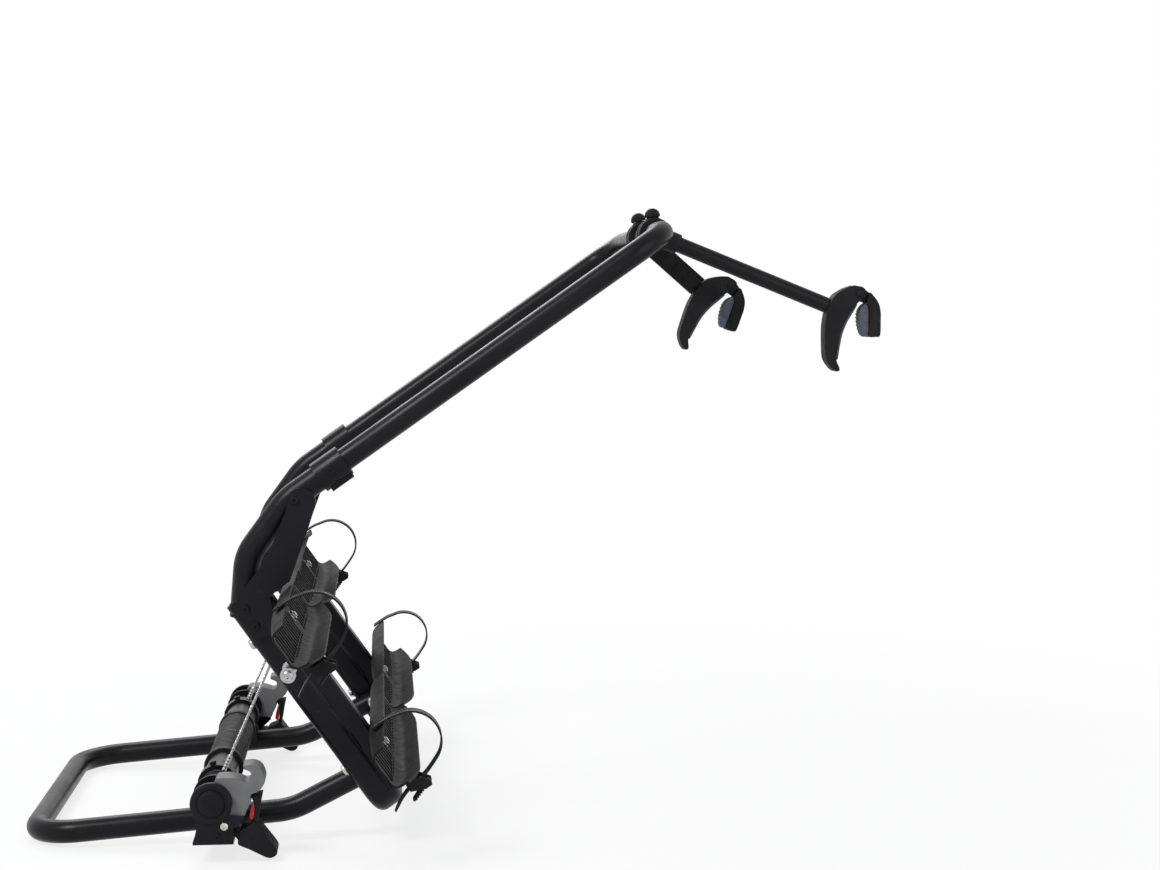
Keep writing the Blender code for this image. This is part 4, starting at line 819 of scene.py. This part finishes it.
def build_gusset(name, side):
    """Curved brace plate between rail and socket, with its screws."""
    outline = mm((-280.5, -15), (-230, -15), (-224, 6), (-240, 20), (-265.5, 30), (-266.5, 62),
                 (-282.7, 84.4), (-305.8, 117.5), (-324.5, 142))
    outline += arc((-0.3395, 0.1315), 0.0185, 35, 200, 22)
    outline += mm((-342, 110), (-331, 92.5), (-316, 69), (-300.5, 35.5), (-292, 7))
    inner = FRAME_FACE + GAP
    outer = inner + 0.006
    brace = Shape(LEVEL)
    corners = rounded(outline, [0.004] * 6 + [0.0] * (len(outline) - 6), 5, closed=True)
    brace.slab([(p.x, p.y) for p in corners], side * inner, side * outer, 0.0009)
    brace.piece(f"{name}_brace", "platform", COAT, [f"{name}_gusset"])
    screws = Shape(LEVEL)
    for x, z in mm((-270, -4), (-245, -6), (-346.7, 126.5)):
        add_socket_bolt(screws, (x, side * outer, z), (0, side, 0), 0.0055, 0.0034, 0.003, 0.006,
                        washer=0.0006)
    screws.piece(f"{name}_brace_screws", "platform", COAT)


def build_platform_bolts():
    for name, side in SIDES:
        hinge = Shape(LEVEL)
        seat = EYE_INNER - GAP
        add_socket_bolt(hinge, (0, side * seat, 0), (0, -side, 0), 0.010, 0.0065, 0.006,
                        FRAME_Y + 0.010 - seat)
        hinge.piece(f"{name}_hinge_pin", "platform", ZINC, [f"{name}_hinge_bolt"])

        stud = Shape(LEVEL)
        head = mm((0, 3), (2.4, 3), (2.7, 3.2, "hex"), (2.7, 6.7, "hex"), (3.6, 7), (5.5, 7), (6.3, 6.4),
                  (6.5, 5.5), (6.5, 0), (9.6, 0), (10, -0.4))
        profile = moved(head, 0, OUTER_CHEEK_Y + 0.0025)
        profile += moved(mm((10, 0.4), (9.6, 0), (6, 0)), 0, OUTER_CHEEK_Y)
        profile += moved(mm((6, 3.4), (9.1, 3), (9.5, 2.6), (9.5, 0), (6, 0)), 0, FRAME_FACE + GAP)
        profile += moved(mm((6, -9), (0, -9)), 0, FRAME_Y)
        add_turned(stud, profile, (STUD[0], 0, STUD[1]), (0, side, 0), 48)
        stud.piece(f"{name}_stud", "platform", STEEL, [f"{name}_lock_stud"])


def tray_size(t):
    """Half width and wall height of a tray, from its middle at 0 to its ends at -1 and 1."""
    taper = max(0.0, (abs(t) - 0.55) / 0.45) ** 2
    return TRAY_HALF + (TRAY_HALF_AT_END - TRAY_HALF) * taper, TRAY_WALL_HIGH * (1.0 - 0.35 * taper)


def tray_line(t):
    """Middle of the skin across a tray, from the left wall's top to the right one's."""
    width, height = tray_size(t)
    width -= TRAY_SKIN
    height -= TRAY_SKIN
    floor = TRAY_BOTTOM + TRAY_SKIN
    flat = width * 0.62
    key = [(0.0, floor), (flat * 0.55, floor), (flat, floor)]
    bend = ((0.55, 0.12), (0.86, 0.38), (1.0, 1.0))
    key += [(flat + (width - flat) * a, floor + height * b) for a, b in bend]
    right = smooth(key, 5, closed=False)
    return [(-u, w) for u, w in right[:0:-1]] + right


def tray_ring(t, x, y):
    """Closed section of the channel's skin, with a rounded bead along each wall's top."""
    inner = [Vector(p) for p in tray_line(t)]
    outer = []
    for i, p in enumerate(inner):
        ahead = inner[min(i + 1, len(inner) - 1)] - inner[max(i - 1, 0)]
        outer.append(p + Vector((ahead.y, -ahead.x)).normalized() * TRAY_SKIN)
    crowns = []
    up = Vector((0, 1)) * TRAY_SKIN / 2
    for first, second in ((inner[-1], outer[-1]), (outer[0], inner[0])):
        middle = (first + second) / 2
        spoke = first - middle
        crowns.append([middle + spoke * math.cos(a) * 1.12 + up * math.sin(a)
                       for a in (math.radians(18 + 36 * k) for k in range(5))])
    section = inner + crowns[0] + outer[::-1] + crowns[1]
    return [Vector((x + p.x, y, p.y)) for p in section]


def build_trays():
    stations, ribs = 56, 24
    floor = TRAY_BOTTOM + TRAY_SKIN
    foot, crest = floor - 0.0004, floor + 0.0012
    for tray, x in enumerate(TRAY_X):
        for name, half in SIDES:
            middle = TRAY_SHIFT[tray]
            low = middle - TRAY_LONG - TRAY_SPLIT if half < 0 else middle + TRAY_SPLIT
            shape = Shape(LEVEL)
            rings = []
            for k in range(stations + 1):
                t = -1 + 2 * k / stations
                rings.append(tray_ring(t, x, low + TRAY_LONG * (t + 1) / 2))
            shape.rings(rings)
            for k in range(1, ribs):
                y = low + k * TRAY_LONG / ribs
                if abs(y - half * FRAME_Y) < 0.016:
                    continue
                width = tray_size(-1 + 2 * (y - low) / TRAY_LONG)[0] * 0.56
                rib = rounded([(-width, foot), (width, foot), (width - 0.001, crest), (0.001 - width, crest)],
                              [0, 0, 0.0008, 0.0008], 3, closed=True)
                shape.slab([(x + p.x, p.y) for p in rib], y - 0.0012, y + 0.0012, 0.0004, 2)
            for u in (-0.45, 0.45):
                at = x + TRAY_HALF * u
                bead = [(at, low + 0.03 + (TRAY_LONG - 0.06) * k / 20, floor) for k in range(21)]
                add_rod(shape, bead, 0.0011, 8)
            shape.piece(f"tray_{tray + 1}_{name}", "platform", PLASTIC, [f"wheel_tray_{tray + 1}_{name}"])


def build_tray_bolts():
    """Bolts through tray and rail, with thread and nut above the tray and the head below the rail."""
    above = mm((0, 6.5), (3.4, 6.5), (3.8, 6.3), (3.4, 6), (3.8, 5.7), (3.4, 5.4), (3.8, 5.1), (3.4, 4.8),
               (3.8, 4.6), (5, 4.6), (5.7, 4.2, "hex"), (5.8, 1.4, "hex"), (5.7, 1.1, "hex"), (7.6, 1),
               (7.8, 0.8), (7.8, 0), (4, 0))
    below = mm((4, 0), (7.8, 0), (7.8, -0.9), (5.7, -1, "hex"), (5.8, -1.2, "hex"), (5.8, -3.8, "hex"),
               (5, -4.5), (0, -4.5))
    profile = moved(above, 0, TRAY_BOTTOM + TRAY_SKIN + GAP) + moved(below, 0, FRAME_Z - FRAME_HIGH / 2 - GAP)
    for tray, x in enumerate((TRAY_X[0] - 0.004, TRAY_X[1])):
        for name, side in SIDES:
            shape = Shape(LEVEL)
            add_turned(shape, profile, (x, side * FRAME_Y, 0), (0, 0, 1))
            shape.piece(f"tray_{tray + 1}_bolt_{name}", "platform", ZINC, [f"tray_bolt_{tray + 1}_{name}"])


def strap_places():
    width, height = tray_size(1 - 2 * (STRAP_INSET + 0.014) / TRAY_LONG)
    outside = width + GAP + 0.0012
    for tray, x in enumerate(TRAY_X):
        for name, half in SIDES:
            end = TRAY_SHIFT[tray] + half * (TRAY_LONG + TRAY_SPLIT)
            yield tray, name, end - half * STRAP_INSET, x, outside, TRAY_BOTTOM + height


def build_straps():
    """Ladder straps with ratchet teeth, their buckles and ribbed release levers."""
    for tray, name, y, x, outside, top in strap_places():
        key = moved(mm((0, -16), (0, -4), (1, 10)), x - outside, top)
        key += arc((x, top + 0.014), outside - 0.003, 172, 20, 12)
        key += moved(mm((1, 10), (4.2, -4), (6, -20), (11, -36), (20, -53)), x + outside, top)
        places = evenly([Vector(p) for p in smooth(key, 12, closed=False)], STRAP_STEP)
        count = len(places)
        rings = []
        for i, p in enumerate(places):
            ahead = places[min(i + 1, count - 1)] - places[max(i - 1, 0)]
            out = Vector((-ahead.y, ahead.x)).normalized()
            web = 0.2 + (i % 4) / 3 if 6 < i < count - 6 else 0.2
            narrow = 1.0 if i < count - 12 else 1.0 - 0.04 * (i - count + 12)
            section = mm((-10, -1.2), (10, -1.2), (10, 1), (9.6, 1.2), (8, 1.2), (7.4, web), (-7.4, web),
                         (-8, 1.2), (-9.6, 1.2), (-10, 1))
            rings.append([Vector((p.x + out.x * h, y + v * narrow, p.y + out.y * h)) for v, h in section])
        strap = Shape(LEVEL)
        strap.rings(rings)
        strap.piece(f"ladder_strap_{tray + 1}_{name}", "platform", STRAP, [f"strap_{tray + 1}_{name}"],
                    sharp=25)
        soften(f"buckle_{tray + 1}_{name}", PLASTIC, 0.0004)

        pin_x, pin_z = x + outside + 0.0135, top + 0.001
        outline = arc((pin_x, pin_z), 0.004, 150, -60, 14)
        outline += moved(mm((6, -16), (9.5, -26), (7, -27.5), (3, -18), (-2.6, -6)), pin_x, pin_z)
        half = 0.0103
        lever = Shape(LEVEL)
        lever.slab(outline, y - half, y + half, 0.0005)
        for k in range(5):
            rib = moved(mm((-0.6, -0.8), (0.9, -0.5), (0.9, 0.5), (-0.6, 0.8)),
                        pin_x + 0.0046 + 0.0011 * k, pin_z - 0.010 - 0.0032 * k)
            lever.slab(rib, y - half + 0.002, y + half - 0.002, 0.0002, 2)
        lever.piece(f"release_lever_{tray + 1}_{name}", f"lever_{tray + 1}_{name}", PLASTIC,
                    [f"buckle_lever_{tray + 1}_{name}"])


# Hoop and arms

def build_hoop():
    hoop = Shape(LEVEL)
    y = LEG_Y
    path = rounded([(LEG_X, -y, 0.139), (LEG_X, -y, HOOP_TOP), (LEG_X, y, HOOP_TOP), (LEG_X, y, 0.139)],
                   [0, 0.055, 0.055, 0], 20)
    add_pipe(hoop, path, LEG_R, HOOP_WALL, 44)
    hoop.piece("hoop_tube", "hoop", COAT, ["hoop"])


def build_arm(kind):
    """Hub on the hoop's top bar, the arm, its clamp knob and its claw."""
    y, angle, length, knob_angle = ARMS[kind]
    matrix = LEVEL @ Matrix.Translation(Vector((LEG_X, y, HOOP_TOP))) @ Matrix.Rotation(-angle, 4, "Y")
    screw = Vector((math.cos(knob_angle - angle), 0, math.sin(knob_angle - angle)))
    body = f"{kind}_arm"
    middle = (0, 0, 0)
    hub = Shape(matrix)
    half = mm((21.4, 6.4), (22, 7), (22, 14.4), (21.5, 15.4), (20.5, 16), (15.3, 16))
    add_turned(hub, both_ways(half)[::-1], middle, (0, 1, 0), 56, ring=True)
    boss = mm((4.3, 17), (9.8, 17), (9.8, 20.8), (8.9, 21.6), (8.5, 22.6), (8, 23), (4.3, 23))
    add_turned(hub, boss, middle, screw, ring=True)
    if kind == "long":
        socket = mm((11, 18), (14.2, 19), (13.7, 23), (13.7, 34), (13.1, 35.8), (12, 36), (11, 36))
        add_turned(hub, socket, middle, (1, 0, 0), 40, ring=True)
        hub.piece("long_arm_hub", body, PLASTIC, ["long_arm_clamp"])
        bar = Shape(matrix)
        add_pipe(bar, [(x, 0, 0) for x in (0.0243, length / 2, length + 0.012)], BAR_R, BAR_WALL, 36)
        bar.piece("long_arm_bar", body, COAT, ["long_arm_tube"])
    else:
        end = length - GAP
        hub.slab(box(0.016, -0.014, end, 0.014), -0.0048, 0.0048, 0.0008)
        for z in (-0.014, 0.0112):
            hub.slab(box(0.0185, z, end, z + 0.0028), -0.006, 0.006, 0.0009)
        for x in (0.040, 0.060, 0.080):
            hub.slab(box(x, -0.012, x + 0.002, 0.012), -0.0058, 0.0058, 0.0006)
        hub.piece("short_arm_hub", body, PLASTIC, ["short_arm"])

    knob = Shape(matrix)
    profile = shares(KNOB_R, KNOB_SEAT, (0, 12), (0.22, 11.8), (0.42, 11.2), (0.60, 10.1), (0.76, 8.5),
                     (0.88, 6.7), (0.96, 4.7, "flutes"), (1, 2.8, "flutes"), (1, 1, "flutes"),
                     (0.93, 0, "flutes"))
    profile += [(0.004, KNOB_SEAT), (0.004, 0.0153), (0, 0.0153)]
    add_turned(knob, profile, middle, screw, 72)
    knob.piece(f"{kind}_clamp_knob", f"{kind}_arm_screw", PLASTIC, [f"{kind}_arm_knob"])
    build_claw(kind, matrix, length)


def build_claw(kind, matrix, length):
    """Curved horn with a forked ear and its liner, the moving jaw on its pin and the ribbed pad."""
    def here(*points):
        return moved(mm(*points), length, 0)

    pivot = (length + 0.0326, 0.031)
    half, knuckle = 0.015, 0.0075
    back = here((0, -6), (1, 13), (7, 24), (14, 32), (22, 38.5))
    inside = here((35.5, 19), (33, 11), (31, 3), (28.6, -11), (28.6, -29), (32.6, -48), (36.6, -64),
                  (45.6, -74), (45, -78.5), (40, -79), (32.6, -76), (22.6, -68), (14.6, -52), (4.6, -27),
                  (0, -6))
    cheek = smooth(back, 4, closed=False) + arc(pivot, 0.0095, 105, -60, 14)
    cheek += smooth(inside, 5, closed=False)[:-1]
    middle = smooth(back[:-1], 4, closed=False) + here((19, 36)) + arc(pivot, 0.011, 155, 250, 10)
    middle += smooth(inside[1:], 5, closed=False)[:-1]
    claw = Shape(matrix)
    for s in (-1, 1):
        claw.slab(cheek, s * (knuckle + GAP), s * half, 0.0016, 4)
    claw.slab(middle, -knuckle - 0.001, knuckle + 0.001, 0.0003, 1)
    pin = moved(mm((0, 3), (3.6, 2.9), (4.6, 2.3), (5, 1.4), (5, -1), (3, -1)), 0, half)
    pin += moved(mm((3, 1), (0, 1)), 0, -half)
    add_turned(claw, pin, (pivot[0], 0, pivot[1]), (0, -1, 0))
    claw.piece(f"{kind}_horn", f"{kind}_arm", PLASTIC, [f"{kind}_claw"])

    liner = Shape(matrix)
    lining = here((35.6, 16.5), (35.2, 9), (33.9, 1), (31.9, -12), (31.9, -29), (35.2, -47), (38, -59),
                  (38.4, -64), (34.6, -58.5), (30.6, -46), (27.4, -29), (27.4, -11), (29.9, 2), (32.6, 11))
    liner.slab(smooth(lining, 4), 0.0035 - half, half - 0.0035, 0.001)
    liner.piece(f"{kind}_horn_liner", f"{kind}_arm", RUBBER)

    jaw = Shape(matrix)
    blade = here((45, 37), (53, 34.5), (62.6, 28), (69.5, 18), (73.6, 8), (80.6, -11), (76, -15.5),
                 (66.5, -17.5), (60, 0), (53, 17), (47, 22.5))
    jaw.slab(smooth(blade, 4), -half, half, 0.0016, 4)
    jaw.slab(arc(pivot, 0.0092, 80, 280, 18) + here((50, 23), (52, 36)), -knuckle, knuckle, 0.0006)
    panel = here((50, 31), (60, 24.5), (69, 8), (74.5, -8), (71, -12), (65, -6), (57.5, 14), (50.5, 24))
    for s in (-1, 1):
        jaw.slab(smooth(panel, 3), s * (half - 0.001), s * (half + 0.0006), 0.0004, 2)
    jaw.piece(f"{kind}_moving_jaw", f"{kind}_claw_jaw", PLASTIC, [f"{kind}_jaw"])

    pad = Shape(matrix)
    outline = here((46.7, 21.8), (52.6, 16.6), (59.6, -0.4), (66, -17.9), (59, -19.5), (50, -9), (43.5, 5),
                   (42.5, 14))
    pad.slab(smooth(outline, 4), 0.0035 - half, half - 0.0035, 0.0012, 4)
    face = smooth(here((44, 16), (43.5, 5), (50, -9), (59, -19.5)), 6, closed=False)
    for u, w in face[2:-2:2]:
        add_rod(pad, [(u, 0.0045 - half, w), (u, 0.0, w), (u, half - 0.0045, w)], 0.0011, 10)
    pad.piece(f"{kind}_grip_pad", f"{kind}_claw_jaw", RUBBER, [f"{kind}_jaw_pad"])


# Studio

def area_light(name, place, target, size, power):
    data = bpy.data.lights.new(name, "AREA")
    data.shape = "SQUARE"
    data.size = size
    data.energy = power
    obj = bpy.data.objects.new(name, data)
    obj.location = place
    obj.rotation_euler = (Vector(target) - Vector(place)).to_track_quat("-Z", "Y").to_euler()
    bpy.context.scene.collection.objects.link(obj)


def seen_white(tree, shaded, output, near=1.0, far=1.0):
    """White where the camera, a gloss or a glass looks, mixed over the lit surface by a share.

    The share grows from near to far with distance from the object, so the floor has no visible edge.
    """
    rays = tree.nodes.new("ShaderNodeLightPath").outputs
    first = add_node(tree, "Math", {0: rays["Is Camera Ray"], 1: rays["Is Glossy Ray"]}, "MAXIMUM")
    second = add_node(tree, "Math", {0: first.outputs[0], 1: rays["Is Transmission Ray"]}, "MAXIMUM")
    place = tree.nodes.new("ShaderNodeTexCoord")
    away = add_node(tree, "VectorMath", {0: place.outputs["Object"]}, "LENGTH")
    share = add_node(tree, "MapRange", {"Value": away.outputs["Value"], "From Min": 0.7, "From Max": 2.2,
                                        "To Min": near, "To Max": far})
    share.interpolation_type = "SMOOTHSTEP"
    amount = add_node(tree, "Math", {0: second.outputs[0], 1: share.outputs["Result"]}, "MULTIPLY")
    white = add_node(tree, "Emission", {"Color": (1, 1, 1, 1), "Strength": 1.0})
    mix = add_node(tree, "MixShader", {"Fac": amount.outputs[0], 1: shaded, 2: white.outputs[0]})
    tree.links.new(mix.outputs[0], output)


def build_studio():
    """Pale floor and surroundings, three soft lamps, and a camera at the photograph's place."""
    scene = bpy.context.scene
    low = min(CAD_BOX[0].z, 0.0) - 0.001
    size = 30.0
    mesh = bpy.data.meshes.new("floor")
    mesh.from_pydata([(x, y, low) for x, y in box(-size, -size, size, size)], [], [(0, 1, 2, 3)])
    floor = bpy.data.objects.new("floor", mesh)
    scene.collection.objects.link(floor)
    paint = bpy.data.materials.new("pale_floor")
    paint.use_nodes = True
    shader = paint.node_tree.nodes["Principled BSDF"]
    shader.inputs["Base Color"].default_value = (0.82, 0.82, 0.82, 1)
    shader.inputs["Roughness"].default_value = 0.9
    out = paint.node_tree.nodes["Material Output"].inputs["Surface"]
    seen_white(paint.node_tree, shader.outputs[0], out, 0.78, 1.0)
    mesh.materials.append(paint)

    world = bpy.data.worlds.new("studio")
    world.use_nodes = True
    tree = world.node_tree
    sky = tree.nodes["Background"]
    sky.inputs["Color"].default_value = (0.92, 0.95, 1.0, 1)
    sky.inputs["Strength"].default_value = 0.42
    seen_white(tree, sky.outputs[0], tree.nodes["World Output"].inputs["Surface"])
    scene.world = world

    middle = (0.25, 0.0, 0.35)
    area_light("key", (-1.5, -1.7, 2.5), middle, 1.0, 62)
    area_light("fill", (2.3, -2.3, 1.1), middle, 2.2, 22)
    area_light("rim", (-0.4, 2.1, 2.3), middle, 1.8, 46)

    data = bpy.data.cameras.new("photo_camera")
    data.lens = 63.62
    data.sensor_width = 36.0
    data.sensor_fit = "HORIZONTAL"
    camera = bpy.data.objects.new("photo_camera", data)
    camera.location = (0.2049, -2.9, 0.6727)
    camera.rotation_euler = (math.radians(90 - 3.418), 0, math.radians(-5.517))
    scene.collection.objects.link(camera)
    scene.camera = camera
    scene.view_settings.view_transform = "Standard"


build_base()
build_locks()
build_cables()
build_platform()
build_platform_bolts()
build_trays()
build_tray_bolts()
build_straps()
build_hoop()
build_arm("long")
build_arm("short")
build_studio()
